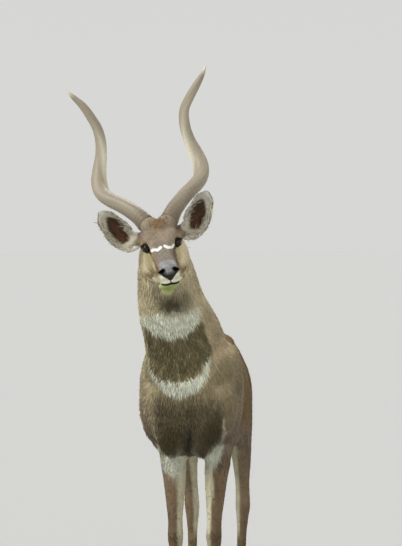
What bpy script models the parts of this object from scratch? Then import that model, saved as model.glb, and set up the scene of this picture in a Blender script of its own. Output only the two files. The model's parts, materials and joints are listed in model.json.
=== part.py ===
"""Mountain nyala bull, life size, standing, head up. Metres, +Z up, facing -Y, its left side at +X."""

import math
import random

import bmesh
import bpy
import numpy as np
from mathutils import Matrix, Vector
from mathutils.bvhtree import BVHTree

# Named sizes, in metres
GAP = 0.0003                   # between one node and the next
EYE_MIDDLE = (-0.079, -0.45, 1.640)
HEAD_TURN = math.radians(6)    # toward its left
MUZZLE_TURN = math.radians(3.0)  # the face's own turn, past that of the ears
HEAD_ROLL = math.radians(-10.9)
HEAD_PITCH = math.radians(18.5)
HORN_ROLL = math.radians(-9.9)
EYE_RADIUS = 0.0205
EYE_OUT = 0.0620               # eyeball's centre from the head's midline
EYE_BACK = 0.001
EYE_UP = 0.002
EYE_AIM = math.radians(43)      # outward from straight ahead
EYE_LIFT = 0.06                # how much an eye looks up
LID_ROLL = 0.0028
UPPER_ROLL = 1.15              # the upper lid's roll and the lower one's, as shares
LOWER_ROLL = 0.95
LOWER_LID = 0.88               # how far the lower lid opens, as a share of the upper
LID_CORNERS = 0.25             # how much the opening narrows toward its corners
LID_HALF_WIDTH = 0.0184
LID_HALF_HEIGHT = 0.0135
NOSTRIL = (0.0300, -0.234, -0.027)
NOSTRIL_TURN = math.radians(32)
NOSTRIL_HALF = (0.0115, 0.016, 0.0090)
NOSTRIL_SLIT = (0.008, 0.003, 0.0055)   # from the nostril's middle
SLIT_HALF = (0.0080, 0.013, 0.0034)
MOUTH_HEIGHT = -0.089
MOUTH_REACH = math.radians(100)         # round the muzzle to each side
MOUTH_HALF_WIDTH = 0.0405
MOUTH_FRONT = -0.236
MOUTH_ROUND = 0.036            # how far the line runs back round the muzzle
MOUTH_DEPTH = 0.0035
MOUTH_OPEN = 0.0035            # half the cut's height at the lips
CUT_REACH = 0.020              # past the lips
NECK_TOP_CUT = ((-0.085, -0.300, 1.580), (0.0, -0.75, 0.66))
NECK_BASE_CUT = ((-0.020, -0.070, 1.150), (0.0, -0.62, 0.785))
TAIL_CUT_Y = 1.160
LEG_TOP = 0.675
CORONET_HEIGHT = 0.058
CORONET_SLOPE = 0.30
LEG_INNER = 0.018              # from the midline to the space that holds a leg
LEG_OUTER = 0.30
FORELEG_SPAN = (-0.16, 0.15)
HINDLEG_SPAN = (0.72, 1.25)
STEP_EASE = 0.8                # how a step spreads down the leg
DEW_CLAW = (0.008, 0.008, 0.015)
DEW_OUT = 0.013
DEW_BACK = 0.040
DEW_HEIGHT = 0.100
CLAW_OUT = 0.0163
CLAW_HALF_WIDTH = 0.0145
CLAW_POINT = 0.45              # how much a hoof half narrows toward its toe
EAR_THICKNESS = 0.0055
EAR_BACK_WAY = (-0.25, 1.0, 0.0)        # where the back of an ear faces
EAR_RINGS = 11
HORN_RINGS = 26
SEAT_LENGTH = 0.11             # room cut clear over the seat of an ear or a horn
HORN_SEAT = 1.34               # seat's radius as a share of the horn's and of the ear's
EAR_SEAT = 1.20
HORN_BODY = 0.94               # radius between the keel and the back ridge, as a share
HORN_KEEL = 0.30               # the keel's height as a share of the horn's radius
HORN_KEEL_SPREAD = 0.55
HORN_BACK_RIDGE = 0.10
HORN_BACK_SPREAD = 0.60
HORN_TWIST = math.radians(330)
HORN_TWIST_START = math.radians(200)
HORN_SWAY = 0.014              # both tips lean toward its left
HORN_SWAY_HEIGHTS = (0.54, 0.66)
CREST_SPACING = 0.036
CREST_WIDTH = 0.062
CREST_HEIGHT = 0.076          # along a lock of the neck, with its root
CREST_LEAN = 0.09              # to one side and the other in turn
CREST_ROOT = 0.022             # sunk in the body
CREST_THICKNESS = 0.018
CREST_LIE = 0.36               # how far a lock leans back at its root, and bends on toward its tip
CREST_BEND = 0.66
CREST_SHARES = (0.85, 1.0, 0.74, 0.18)  # width of a lock from its root to its tip
BACK_CREST = 0.98              # height of the locks on the back, as a share
CREST_NECK_FOOT = 1.30         # height where the neck's crest becomes the back's
CREST_ENDS = (1.665, 1.08)     # height at the poll, place along the back
WITHERS_Y = 0.22
TAIL_LOCKS = 26
TAIL_LOCK_LENGTHS = (0.085, 0.115)
TAIL_LOCK_WIDTH = 0.040
TAIL_LOCK_THICKNESS = 0.013
TAIL_LOCK_SPAN = (8, 35)       # rows of the tail that carry locks, of its 40
TAIL_LOCK_TURN = 2.4           # round the tail from one lock to the next
LOCK_SHARES = (0.85, 1.0, 0.62, 0.10)
BODY_VOXEL = 0.010
BODY_FACES = 4700
BODY_ROUNDS = (4, 22, 8)       # evening of the whole, of the body above the legs, of the whole again
HEAD_VOXEL = 0.0036
HEAD_FACES = 2300
HEAD_ROUNDS = (9, 10)
RELAX_FADE = 0.06

# Torso stations: y, top, bottom, height of the widest point, half width, squareness of the upper half
TORSO = (
    (-0.255, 1.080, 0.880, 0.980, 0.070, 2.0),
    (-0.215, 1.170, 0.790, 0.970, 0.140, 2.0),
    (-0.130, 1.240, 0.765, 0.960, 0.187, 1.9),
    (0.000, 1.275, 0.742, 0.960, 0.206, 1.7),
    (0.130, 1.280, 0.732, 0.950, 0.206, 1.7),
    (0.300, 1.255, 0.722, 0.940, 0.208, 1.8),
    (0.470, 1.240, 0.717, 0.930, 0.206, 1.8),
    (0.620, 1.240, 0.724, 0.935, 0.200, 1.8),
    (0.760, 1.250, 0.754, 0.945, 0.184, 1.8),
    (0.880, 1.258, 0.790, 0.955, 0.170, 1.8),
    (1.000, 1.236, 0.842, 0.985, 0.150, 1.9),
    (1.090, 1.188, 0.905, 1.020, 0.118, 2.0),
    (1.135, 1.135, 0.970, 1.040, 0.074, 2.0),
)
# Neck stations: centre x, y, z, half width, half depth
NECK = (
    (0.000, 0.040, 1.000, 0.180, 0.235),
    (-0.009, -0.045, 1.120, 0.181, 0.215),
    (-0.022, -0.120, 1.240, 0.171, 0.182),
    (-0.065, -0.190, 1.383, 0.147, 0.155),
    (-0.083, -0.250, 1.520, 0.125, 0.134),
    (-0.088, -0.300, 1.610, 0.103, 0.116),
    (-0.086, -0.345, 1.675, 0.078, 0.088),
)
# Leg stations: height, y, x, half width, half depth
FORELEG = (
    (0.920, 0.000, 0.125, 0.070, 0.120),
    (0.840, 0.020, 0.120, 0.066, 0.112),
    (0.760, 0.034, 0.110, 0.062, 0.090),
    (0.690, 0.032, 0.104, 0.057, 0.070),
    (0.620, 0.024, 0.100, 0.050, 0.057),
    (0.540, 0.014, 0.098, 0.041, 0.046),
    (0.465, 0.006, 0.096, 0.0335, 0.037),
    (0.410, 0.002, 0.095, 0.0355, 0.039),
    (0.370, 0.003, 0.095, 0.0335, 0.036),
    (0.325, 0.008, 0.094, 0.0250, 0.028),
    (0.250, 0.010, 0.093, 0.0220, 0.0255),
    (0.190, 0.010, 0.092, 0.0225, 0.026),
    (0.145, 0.008, 0.091, 0.0290, 0.033),
    (0.105, -0.006, 0.090, 0.0260, 0.028),
    (0.065, -0.020, 0.090, 0.0305, 0.033),
    (0.020, -0.026, 0.090, 0.0310, 0.036),
)
HINDLEG = (
    (1.000, 0.940, 0.098, 0.068, 0.172),
    (0.900, 0.925, 0.108, 0.064, 0.160),
    (0.810, 0.918, 0.113, 0.058, 0.134),
    (0.730, 0.935, 0.117, 0.050, 0.099),
    (0.650, 0.972, 0.117, 0.0425, 0.070),
    (0.580, 1.015, 0.115, 0.0350, 0.051),
    (0.520, 1.050, 0.113, 0.0335, 0.045),
    (0.465, 1.070, 0.112, 0.0350, 0.046),
    (0.415, 1.070, 0.110, 0.0295, 0.038),
    (0.345, 1.060, 0.108, 0.0240, 0.031),
    (0.250, 1.045, 0.106, 0.0225, 0.028),
    (0.190, 1.038, 0.105, 0.0235, 0.029),
    (0.145, 1.032, 0.104, 0.0290, 0.034),
    (0.105, 1.014, 0.104, 0.0265, 0.029),
    (0.065, 0.998, 0.104, 0.0305, 0.033),
    (0.020, 0.992, 0.104, 0.0310, 0.036),
)
# Each foot's step forward (-) or back (+) of the square stance
STEPS = {"foreleg_left": -0.030, "foreleg_right": 0.030, "hindleg_left": 0.035, "hindleg_right": -0.045}
# How much nearer the midline a leg stands than its stations say
INSETS = {"foreleg_left": 0.0, "foreleg_right": 0.022, "hindleg_left": 0.0, "hindleg_right": 0.0}
# Head stations: y along the face from between the eyes, top, bottom, half width above, half width below
HEAD = (
    (0.155, 0.030, -0.075, 0.040, 0.036),
    (0.120, 0.062, -0.110, 0.062, 0.056),
    (0.075, 0.076, -0.134, 0.073, 0.062),
    (0.030, 0.071, -0.141, 0.077, 0.060),
    (0.000, 0.058, -0.136, 0.074, 0.056),
    (-0.040, 0.040, -0.127, 0.059, 0.048),
    (-0.085, 0.026, -0.122, 0.047, 0.040),
    (-0.130, 0.015, -0.119, 0.040, 0.037),
    (-0.175, 0.006, -0.119, 0.041, 0.040),
    (-0.205, -0.001, -0.124, 0.0455, 0.043),
    (-0.230, -0.012, -0.114, 0.0435, 0.037),
    (-0.247, -0.034, -0.092, 0.028, 0.024),
)
# Swellings: centre, half sizes, lean forward or back in degrees; those off the midline are mirrored
BODY_FORMS = (
    ((0.160, -0.020, 1.015), (0.064, 0.130, 0.220), -14),
    ((0.128, -0.155, 0.960), (0.084, 0.085, 0.125), -10),
    ((0.150, 0.060, 0.868), (0.050, 0.110, 0.098), 0),
    ((0.062, -0.190, 0.870), (0.078, 0.075, 0.130), 0),
    ((0.060, -0.115, 1.110), (0.128, 0.135, 0.150), 0),
    ((0.040, 0.075, 1.215), (0.072, 0.150, 0.085), -12),
    ((0.092, 0.920, 0.958), (0.080, 0.180, 0.190), 10),
    ((0.114, 0.815, 0.850), (0.052, 0.088, 0.118), 0),
    ((0.076, 1.015, 0.990), (0.074, 0.096, 0.165), 14),
    ((0.100, 1.000, 0.850), (0.046, 0.062, 0.130), 10),
    ((0.060, 0.790, 1.198), (0.048, 0.085, 0.042), 0),
    ((0.000, 0.680, 0.738), (0.032, 0.100, 0.034), -8),
    ((0.000, 0.985, 0.775), (0.042, 0.044, 0.070), 0),
    ((0.000, 1.115, 1.125), (0.038, 0.070, 0.048), 20),
)
LEG_FORMS = (
    ((0.095, -0.018, 0.405), (0.030, 0.024, 0.040), 0, "foreleg"),
    ((0.096, 0.044, 0.415), (0.018, 0.016, 0.030), 0, "foreleg"),
    ((0.091, 0.028, 0.135), (0.022, 0.018, 0.022), 0, "foreleg"),
    ((0.114, 1.103, 0.505), (0.0175, 0.022, 0.058), 8, "hindleg"),
    ((0.105, 1.054, 0.135), (0.022, 0.018, 0.022), 0, "hindleg"),
)
# Swellings of the head, in its own frame
HEAD_FORMS = (
    ((0.057, 0.023, 0.004), (0.030, 0.034, 0.034), 0),
    ((0.046, 0.020, 0.036), (0.034, 0.042, 0.030), 0),
    ((0.044, 0.045, -0.070), (0.032, 0.060, 0.058), 0),
    ((0.030, -0.060, -0.062), (0.026, 0.060, 0.030), 0),
    ((0.000, 0.062, 0.062), (0.062, 0.056, 0.032), 0),
    ((0.000, -0.222, -0.021), (0.034, 0.026, 0.025), 0),
    ((0.030, -0.224, -0.027), (0.018, 0.022, 0.022), 0),
    ((0.025, -0.221, -0.064), (0.027, 0.024, 0.026), 0),
    ((0.000, -0.226, -0.046), (0.020, 0.020, 0.030), 0),
)
# The chin lies to its right, as the jaw is pushed sideways in chewing
CHIN_FORMS = (
    ((-0.017, -0.198, -0.118), (0.027, 0.030, 0.033)),
    ((-0.009, -0.205, -0.103), (0.0445, 0.030, 0.015)),
)
# Ends of the stalk that carries each ear and of the core that carries each horn: half sizes, depth
EAR_STALK = ((0.035, 0.035, 0.048), 0.022)
HORN_CORE = ((0.041, 0.041, 0.050), 0.036)
# Horn stations in its own upright frame: out, back, up from between the eyes, radius
HORN = (
    (0.053, 0.052, 0.111, 0.0345),
    (0.081, 0.075, 0.1455, 0.0345),
    (0.131, 0.118, 0.190, 0.0338),
    (0.181, 0.162, 0.226, 0.0328),
    (0.211, 0.198, 0.258, 0.0318),
    (0.219, 0.232, 0.303, 0.0305),
    (0.209, 0.258, 0.356, 0.0278),
    (0.190, 0.270, 0.417, 0.0256),
    (0.181, 0.268, 0.477, 0.0243),
    (0.187, 0.256, 0.538, 0.0224),
    (0.212, 0.243, 0.591, 0.0190),
    (0.242, 0.234, 0.638, 0.0146),
    (0.279, 0.228, 0.685, 0.0082),
    (0.298, 0.225, 0.716, 0.0014),
)
# Ear's middle line in the face's upright frame: out, back, up
EAR_LINE = (
    (0.086, 0.086, 0.040),
    (0.140, 0.080, 0.051),
    (0.184, 0.068, 0.112),
    (0.229, 0.062, 0.187),
)
# Ear stations: half width, depth of the cup, how open its front is (-1 is a closed round stalk)
EAR = (
    (0.030, 0.027, -1.0),
    (0.038, 0.034, -0.35),
    (0.049, 0.038, 0.70),
    (0.056, 0.037, 0.92),
    (0.056, 0.031, 0.95),
    (0.049, 0.024, 0.95),
    (0.040, 0.016, 0.92),
    (0.0090, 0.006, 0.60),
)
# Rings of a hoof half: share of its height, share of its width, toe, heel
CLAW_RINGS = (
    (0.00, 0.94, 0.058, 0.031),
    (0.10, 1.00, 0.060, 0.033),
    (0.50, 0.96, 0.047, 0.032),
    (1.00, 0.90, 0.033, 0.030),
)
TAIL = (
    (1.135, 1.135, 0.024, 0.024),
    (1.175, 1.120, 0.026, 0.026),
    (1.200, 1.060, 0.030, 0.026),
    (1.206, 0.980, 0.038, 0.030),
    (1.203, 0.890, 0.042, 0.031),
    (1.195, 0.800, 0.034, 0.025),
    (1.188, 0.740, 0.014, 0.012),
)
# Colours: red, green, blue (linear), roughness
COLOURS = {
    "coat": ((0.190, 0.150, 0.105), 0.85),
    "neck": ((0.150, 0.122, 0.088), 0.88),
    "head": ((0.215, 0.165, 0.110), 0.85),
    "leg": ((0.150, 0.110, 0.075), 0.85),
    "ear": ((0.235, 0.200, 0.160), 0.85),
    "horn": ((0.240, 0.185, 0.130), 0.55),
    "eye": ((0.018, 0.012, 0.008), 0.08),
    "hoof": ((0.030, 0.026, 0.022), 0.45),
    "tail": ((0.120, 0.085, 0.055), 0.88),
}


def clear_scene():
    for ob in list(bpy.data.objects):
        bpy.data.objects.remove(ob)


def through(rows, count):
    """A station table resampled as count rows of one smooth curve."""
    rows = np.array(rows, float)
    t = np.linspace(0, len(rows) - 1, count)
    i = np.clip(t.astype(int), 0, len(rows) - 2)
    f = (t - i)[:, None]
    here, after = rows[i], rows[i + 1]
    before = rows[np.maximum(i - 1, 0)]
    beyond = rows[np.minimum(i + 2, len(rows) - 1)]
    bend = 2 * before - 5 * here + 4 * after - beyond + f * (3 * (here - after) + beyond - before)
    return here + 0.5 * f * (after - before + f * bend)


def loft(rings):
    """Points and faces of a closed skin over rings of equal count, with flat ends."""
    rings = np.asarray(rings, float)
    k, n = rings.shape[:2]
    faces = [tuple(range(n))[::-1], tuple(range((k - 1) * n, k * n))]
    for r in range(k - 1):
        for j in range(n):
            a, b = r * n + j, r * n + (j + 1) % n
            faces.append((a, b, b + n, a + n))
    return rings.reshape(-1, 3), faces


def ball(centre, half, lean=0.0, segments=20, rings=12):
    """Points and faces of an ellipsoid, leaned about X."""
    made = bmesh.new()
    turn = Matrix.Rotation(math.radians(lean), 4, "X")
    place = Matrix.Translation(centre) @ turn @ Matrix.Diagonal((*half, 1))
    bmesh.ops.create_uvsphere(made, u_segments=segments, v_segments=rings, radius=1, matrix=place)
    made.verts.index_update()
    points = np.array([v.co for v in made.verts])
    faces = [tuple(v.index for v in f.verts) for f in made.faces]
    made.free()
    return points, faces


def mirrored(piece):
    points, faces = piece
    return points * (-1, 1, 1), [f[::-1] for f in faces]


def moved(piece, matrix):
    points, faces = piece
    m = np.array(matrix)
    return points @ m[:3, :3].T + m[:3, 3], faces


def object_from(name, pieces, collection=None):
    """One object holding every piece, its faces turned outward."""
    points, faces, start = [], [], 0
    for some, their in pieces:
        points.append(np.asarray(some))
        faces += [tuple(i + start for i in f) for f in their]
        start += len(some)
    mesh = bpy.data.meshes.new(name)
    mesh.from_pydata(np.concatenate(points).tolist(), [], faces)
    work = bmesh.new()
    work.from_mesh(mesh)
    bmesh.ops.recalc_face_normals(work, faces=work.faces)
    work.to_mesh(mesh)
    work.free()
    ob = bpy.data.objects.new(name, mesh)
    (collection or bpy.context.scene.collection).objects.link(ob)
    return ob


def bake(ob):
    """Applies the modifiers of an object."""
    bpy.context.view_layer.update()
    graph = bpy.context.evaluated_depsgraph_get()
    mesh = bpy.data.meshes.new_from_object(ob.evaluated_get(graph))
    ob.modifiers.clear()
    old = ob.data
    ob.data = mesh
    bpy.data.meshes.remove(old)


def fuse(ob, voxel):
    """Melts overlapping closed forms into one skin."""
    change = ob.modifiers.new("melt", "REMESH")
    change.mode = "VOXEL"
    change.voxel_size = voxel
    bake(ob)


def relax(ob, rounds, kept=0.0, above=-1.0):
    """Evens a skin above a height; kept near 1 holds its volume, 0 lets hollows fill and ridges soften."""
    mesh = ob.data
    co = np.empty(len(mesh.vertices) * 3)
    mesh.vertices.foreach_get("co", co)
    co = co.reshape(-1, 3)
    ends = np.empty(len(mesh.edges) * 2, int)
    mesh.edges.foreach_get("vertices", ends)
    a, b = ends.reshape(-1, 2).T
    links = np.bincount(np.r_[a, b], minlength=len(co))[:, None].clip(1)
    share = np.clip((co[:, 2:] - above) / RELAX_FADE, 0, 1)
    for _ in range(rounds):
        for push in (0.5, -0.52 * kept):
            sums = [np.bincount(np.r_[a, b], np.r_[co[b, k], co[a, k]], len(co)) for k in range(3)]
            near = np.stack(sums, 1)
            co = co + share * push * (near / links - co)
    mesh.vertices.foreach_set("co", co.ravel())
    mesh.update()


def thin_out(ob, faces):
    """Collapses edges until the object has about this many triangles."""
    work = bmesh.new()
    work.from_mesh(ob.data)
    bmesh.ops.triangulate(work, faces=work.faces)
    work.to_mesh(ob.data)
    work.free()
    change = ob.modifiers.new("thin", "DECIMATE")
    change.ratio = min(1.0, faces / len(ob.data.polygons))
    bake(ob)


def keep_largest(ob):
    """Drops every loose piece of a mesh but the one with the most faces."""
    work = bmesh.new()
    work.from_mesh(ob.data)
    left, best = set(work.faces), set()
    while left:
        found, edge = set(), [left.pop()]
        while edge:
            face = edge.pop()
            found.add(face)
            for e in face.edges:
                for other in e.link_faces:
                    if other in left:
                        left.discard(other)
                        edge.append(other)
        if len(found) > len(best):
            best = found
    bmesh.ops.delete(work, geom=[f for f in work.faces if f not in best], context="FACES")
    work.to_mesh(ob.data)
    work.free()


def slice_off(ob, point, normal, gap=0.0):
    """Removes what lies on the normal's side of a plane and caps the cut."""
    work = bmesh.new()
    work.from_mesh(ob.data)
    normal = Vector(normal).normalized()
    at = Vector(point) - normal * gap
    every = work.verts[:] + work.edges[:] + work.faces[:]
    cut = bmesh.ops.bisect_plane(work, geom=every, dist=1e-6, plane_co=at, plane_no=normal, clear_outer=True)
    rim = [e for e in cut["geom_cut"] if isinstance(e, bmesh.types.BMEdge) and e.is_boundary]
    filled = bmesh.ops.triangle_fill(work, edges=rim, use_beauty=True)
    bmesh.ops.recalc_face_normals(work, faces=work.faces)
    bmesh.ops.triangulate(work, faces=[f for f in filled["geom"] if isinstance(f, bmesh.types.BMFace)])
    work.to_mesh(ob.data)
    work.free()
    keep_largest(ob)


def combine(ob, pieces, operation, solver="MANIFOLD"):
    """Joins closed pieces to an object, or cuts them from it, and removes them."""
    group = bpy.data.collections.new("pieces")
    bpy.context.scene.collection.children.link(group)
    made = [object_from("piece", [p], group) for p in pieces]
    change = ob.modifiers.new("combine", "BOOLEAN")
    change.operation = operation
    change.operand_type = "COLLECTION"
    change.collection = group
    change.solver = solver
    bake(ob)
    for piece in made:
        bpy.data.objects.remove(piece)
    bpy.data.collections.remove(group)
    keep_largest(ob)


def block(low, high):
    """A box from its lowest to its highest corner."""
    x, y, z = zip(low, high)
    rings = [[(x[0], y[0], h), (x[1], y[0], h), (x[1], y[1], h), (x[0], y[1], h)] for h in z]
    return loft(rings)


def rod(foot, axis, radius, length, sides=24):
    """A round closed rod that stands on foot and points along axis."""
    turn = Vector(axis).to_track_quat("Z", "Y").to_matrix().to_4x4()
    angles = np.linspace(0, 2 * math.pi, sides, endpoint=False)
    ring = np.c_[radius * np.cos(angles), radius * np.sin(angles), 0 * angles]
    piece = loft([ring, ring + (0, 0, length)])
    return moved(piece, Matrix.Translation(foot) @ turn)


def torso():
    rings = []
    turns = np.linspace(0, 2 * math.pi, 36, endpoint=False)
    for y, top, low, mid, half, square in through(TORSO, 34):
        s, c = np.sin(turns), np.cos(turns)
        power = np.where(c > 0, 2 / square, 1.0)
        x = half * np.sign(s) * np.abs(s) ** np.where(c > 0, 2 / max(square, 1.0) * 0.5 + 0.5, 0.9)
        z = np.where(c > 0, mid + (top - mid) * np.abs(c) ** power, mid - (mid - low) * np.abs(c) ** 0.95)
        rings.append(np.c_[x, 0 * x + y, z])
    return loft(rings)


def swept(rows, sides=28, side_way=(1, 0, 0)):
    """A tube through rows of x, y, z, half width, half depth, its rings square to the path."""
    rows = np.asarray(rows)
    path = rows[:, :3]
    ahead = np.gradient(path, axis=0)
    turns = np.linspace(0, 2 * math.pi, sides, endpoint=False)
    rings = []
    for centre, way, (wide, deep) in zip(path, ahead, rows[:, 3:5]):
        way = way / np.linalg.norm(way)
        side = np.array(side_way) - way * np.dot(side_way, way)
        side /= np.linalg.norm(side)
        back = np.cross(way, side)
        ring = np.outer(np.sin(turns) * wide, side) + np.outer(np.cos(turns) * deep, back)
        rings.append(centre + ring)
    return loft(rings)


def stepped(rows, z, step):
    """How far a step has moved a leg at a height."""
    top = rows[2][0]
    return step * min(1.0, max(0.0, (top - z) / top)) ** STEP_EASE


def leg(rows, step, inset):
    """A leg from its station table, each ring level, its foot moved a step from the body's line."""
    rings = []
    turns = np.linspace(0, 2 * math.pi, 24, endpoint=False)
    for z, y, x, wide, deep in through(rows, 44):
        at = y + stepped(rows, z, step)
        rings.append(np.c_[x - inset + wide * np.sin(turns), at + deep * np.cos(turns), z + 0 * turns])
    return loft(rings)


def leg_parts():
    """Each leg's pieces by its name."""
    found = {}
    for name, step in STEPS.items():
        kind = name.split("_")[0]
        rows = FORELEG if kind == "foreleg" else HINDLEG
        inset = INSETS[name]
        pieces = [leg(rows, step, inset)]
        for (x, y, z), half, lean, on in LEG_FORMS:
            if on == kind:
                pieces.append(ball((x - inset, y + stepped(rows, z, step), z), half, lean, 16, 10))
        _, fetlock_y, fetlock_x, *_ = rows[13]
        dew_y = fetlock_y + stepped(rows, DEW_HEIGHT, step) + DEW_BACK
        for out in (-DEW_OUT, DEW_OUT):
            pieces.append(ball((fetlock_x - inset + out, dew_y, DEW_HEIGHT), DEW_CLAW, -20, 10, 8))
        found[name] = [mirrored(p) for p in pieces] if name.endswith("right") else pieces
    return found


def both_sides(forms):
    pieces = []
    for centre, half, lean in forms:
        piece = ball(centre, half, lean)
        pieces.append(piece)
        if centre[0] > 0:
            pieces.append(mirrored(piece))
    return pieces


def face_frame():
    """The face's upright frame: turned and rolled with the head, not pitched."""
    turn = Matrix.Rotation(HEAD_TURN, 4, "Z") @ Matrix.Rotation(HEAD_ROLL, 4, "Y")
    return Matrix.Translation(EYE_MIDDLE) @ turn


def head_frame():
    return face_frame() @ Matrix.Rotation(MUZZLE_TURN, 4, "Z") @ Matrix.Rotation(HEAD_PITCH, 4, "X")


def horn_frame():
    turn = Matrix.Rotation(HEAD_TURN, 4, "Z") @ Matrix.Rotation(HORN_ROLL, 4, "Y")
    return Matrix.Translation(EYE_MIDDLE) @ turn


def skull():
    """The head's main form, in its own frame."""
    rings = []
    turns = np.linspace(0, 2 * math.pi, 32, endpoint=False)
    s, c = np.sin(turns), np.cos(turns)
    for y, top, low, above, below in through(HEAD, 30):
        height = np.sign(c) * np.abs(c) ** 0.85
        half = np.where(c > 0, above, above + (below - above) * np.abs(c) ** 0.7)
        x = half * np.sign(s) * np.abs(s) ** 0.85
        z = (top + low) / 2 + (top - low) / 2 * height
        z = z + (0.30 * (top - low) / 2) * (1 - np.abs(c)) * (np.abs(s) > 0)
        rings.append(np.c_[x, 0 * x + y, z])
    return loft(rings)


def root_of(line, count):
    """Where an ear or a horn of so many rings leaves the head, and its way out."""
    rows = through(line, count)[:, :3]
    return Vector(rows[0]), Vector(rows[1] - rows[0]).normalized()


def footing(line, count, half, depth):
    """The swelling that carries an ear or a horn, sunk in the head along its way."""
    foot, way = root_of(line, count)
    turn = Matrix.Translation(foot) @ way.to_track_quat("Z", "Y").to_matrix().to_4x4()
    return moved(ball((0, 0, -depth), half), turn)


def head_pieces():
    to_head = head_frame()
    pieces = [moved(skull(), to_head)] + [moved(p, to_head) for p in both_sides(HEAD_FORMS)]
    pieces += [moved(ball(centre, half), to_head) for centre, half in CHIN_FORMS]
    stalk = footing(EAR_LINE, EAR_RINGS, *EAR_STALK)
    core = footing(HORN, HORN_RINGS, *HORN_CORE)
    pieces += [moved(p, face_frame()) for p in (stalk, mirrored(stalk))]
    pieces += [moved(p, horn_frame()) for p in (core, mirrored(core))]
    return pieces


def neck():
    return swept(through(NECK, 26))


def ridge(turns, at, spread):
    """A rounded ridge along a tube, at an angle round it."""
    off = np.angle(np.exp(1j * (turns - at)))
    return np.exp(-(off / spread) ** 2)


def horn(side, sides=12):
    """The left (+1) or right (-1) horn, drawn as a left one: a tapered tube whose keel winds round it."""
    rows = through(HORN, HORN_RINGS)
    low, high = HORN_SWAY_HEIGHTS
    share = np.clip((rows[:, 2] - low) / (high - low), 0, 1)
    rows[:, 0] += side * HORN_SWAY * share * share * (3 - 2 * share)
    path, radius = rows[:, :3], rows[:, 3]
    ahead = np.gradient(path, axis=0)
    ahead /= np.linalg.norm(ahead, axis=1)[:, None]
    across = np.cross(ahead[0], (0, 1, 0))
    turns = np.linspace(0, 2 * math.pi, sides, endpoint=False)
    shape = HORN_BODY + HORN_KEEL * ridge(turns, 0, HORN_KEEL_SPREAD)
    shape = shape + HORN_BACK_RIDGE * ridge(turns, math.pi, HORN_BACK_SPREAD)
    rings = []
    for i, (centre, way, r) in enumerate(zip(path, ahead, radius)):
        across = across - way * np.dot(across, way)
        across /= np.linalg.norm(across)
        other = np.cross(way, across)
        wind = turns + HORN_TWIST_START + HORN_TWIST * i / (len(path) - 1)
        ring = np.outer(r * shape * np.cos(wind), across) + np.outer(r * shape * np.sin(wind), other)
        rings.append(centre + ring)
    rings[0] = rings[0] + ahead[0] * GAP
    return rings


def ear(arc=8):
    """The animal's left ear: a cup open to the front, closing to a round stalk at its root."""
    line, rows = through(EAR_LINE, EAR_RINGS), through(EAR, EAR_RINGS)
    ahead = np.gradient(line, axis=0)
    rings = []
    angles = np.linspace(-math.pi / 2, math.pi / 2, arc)
    for centre, way, (wide, deep, opening) in zip(line, ahead, rows):
        way = way / np.linalg.norm(way)
        back = np.array(EAR_BACK_WAY)
        back = back - way * np.dot(back, way)
        back /= np.linalg.norm(back)
        side = np.cross(way, back)
        thick = min(EAR_THICKNESS, 0.45 * wide)
        outer = np.outer(np.sin(angles) * wide, side) + np.outer(np.cos(angles) * deep, back)
        inner_wide, inner_deep = wide - 0.35 * thick, opening * (deep - thick)
        inner = np.outer(np.sin(angles) * inner_wide, side) + np.outer(np.cos(angles) * inner_deep, back)
        rings.append(np.r_[centre + outer, (centre + inner)[::-1][1:-1]])
    way = ahead[0] / np.linalg.norm(ahead[0])
    first = rings[0] - line[0]
    rings[0] = line[0] + first - np.outer(first @ way, way) + way * GAP
    return rings


def eye_place(side):
    """The left (+1) or right (-1) eyeball's centre and its way out, in the head's frame."""
    centre = Vector((side * EYE_OUT, EYE_BACK, EYE_UP))
    way = Vector((side * math.sin(EYE_AIM), -math.cos(EYE_AIM), EYE_LIFT)).normalized()
    return centre, way


def eyeball(side, radius):
    centre, way = eye_place(side)
    place = Matrix.Translation(centre) @ way.to_track_quat("Z", "Y").to_matrix().to_4x4()
    piece = ball((0, 0, 0), (radius, radius, radius), 0, 16, 10)
    return moved(piece, head_frame() @ place)


def lid(side):
    """The rim of the two lids as one almond ring lying on the eyeball."""
    centre, way = eye_place(side)
    up = Vector((0, 0, 1))
    along = up.cross(way).normalized()
    up = way.cross(along).normalized()
    count, sides = 18, 5
    points, faces = [], []
    for i in range(count):
        t = 2 * math.pi * i / count
        wide = LID_HALF_WIDTH * math.cos(t)
        tall = LID_HALF_HEIGHT * (1.0 if math.sin(t) > 0 else LOWER_LID) * math.sin(t)
        tall *= 1 - LID_CORNERS * math.cos(t) ** 2
        reach = Vector(along * wide + up * tall)
        deep = math.sqrt(max(0.0, (EYE_RADIUS + 0.001) ** 2 - wide ** 2 - tall ** 2))
        middle = centre + reach + way * deep
        out = reach.normalized()
        for j in range(sides):
            a = 2 * math.pi * j / sides
            size = LID_ROLL * (UPPER_ROLL if math.sin(t) > 0.2 else LOWER_ROLL)
            points.append(middle + out * size * math.cos(a) + way * size * math.sin(a))
    for i in range(count):
        for j in range(sides):
            a, b = i * sides + j, i * sides + (j + 1) % sides
            c, d = ((i + 1) % count) * sides + (j + 1) % sides, ((i + 1) % count) * sides + j
            faces.append((a, b, c, d))
    return moved((np.array(points), faces), head_frame())


def eye_opening(side):
    """The space in front of the eyeball that the lids leave free."""
    centre, way = eye_place(side)
    along = Vector((0, 0, 1)).cross(way).normalized()
    up = way.cross(along).normalized()
    turns = np.linspace(0, 2 * math.pi, 22, endpoint=False)
    rings = []
    for out, size in ((0.004, 0.80), (0.012, 0.95), (0.030, 1.6)):
        wide = np.outer(LID_HALF_WIDTH * size * np.cos(turns), along)
        tall = np.outer(LID_HALF_HEIGHT * 0.94 * size * np.sin(turns), up)
        rings.append(np.array(centre + way * out) + wide + tall)
    return moved(loft(rings), head_frame())


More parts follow.
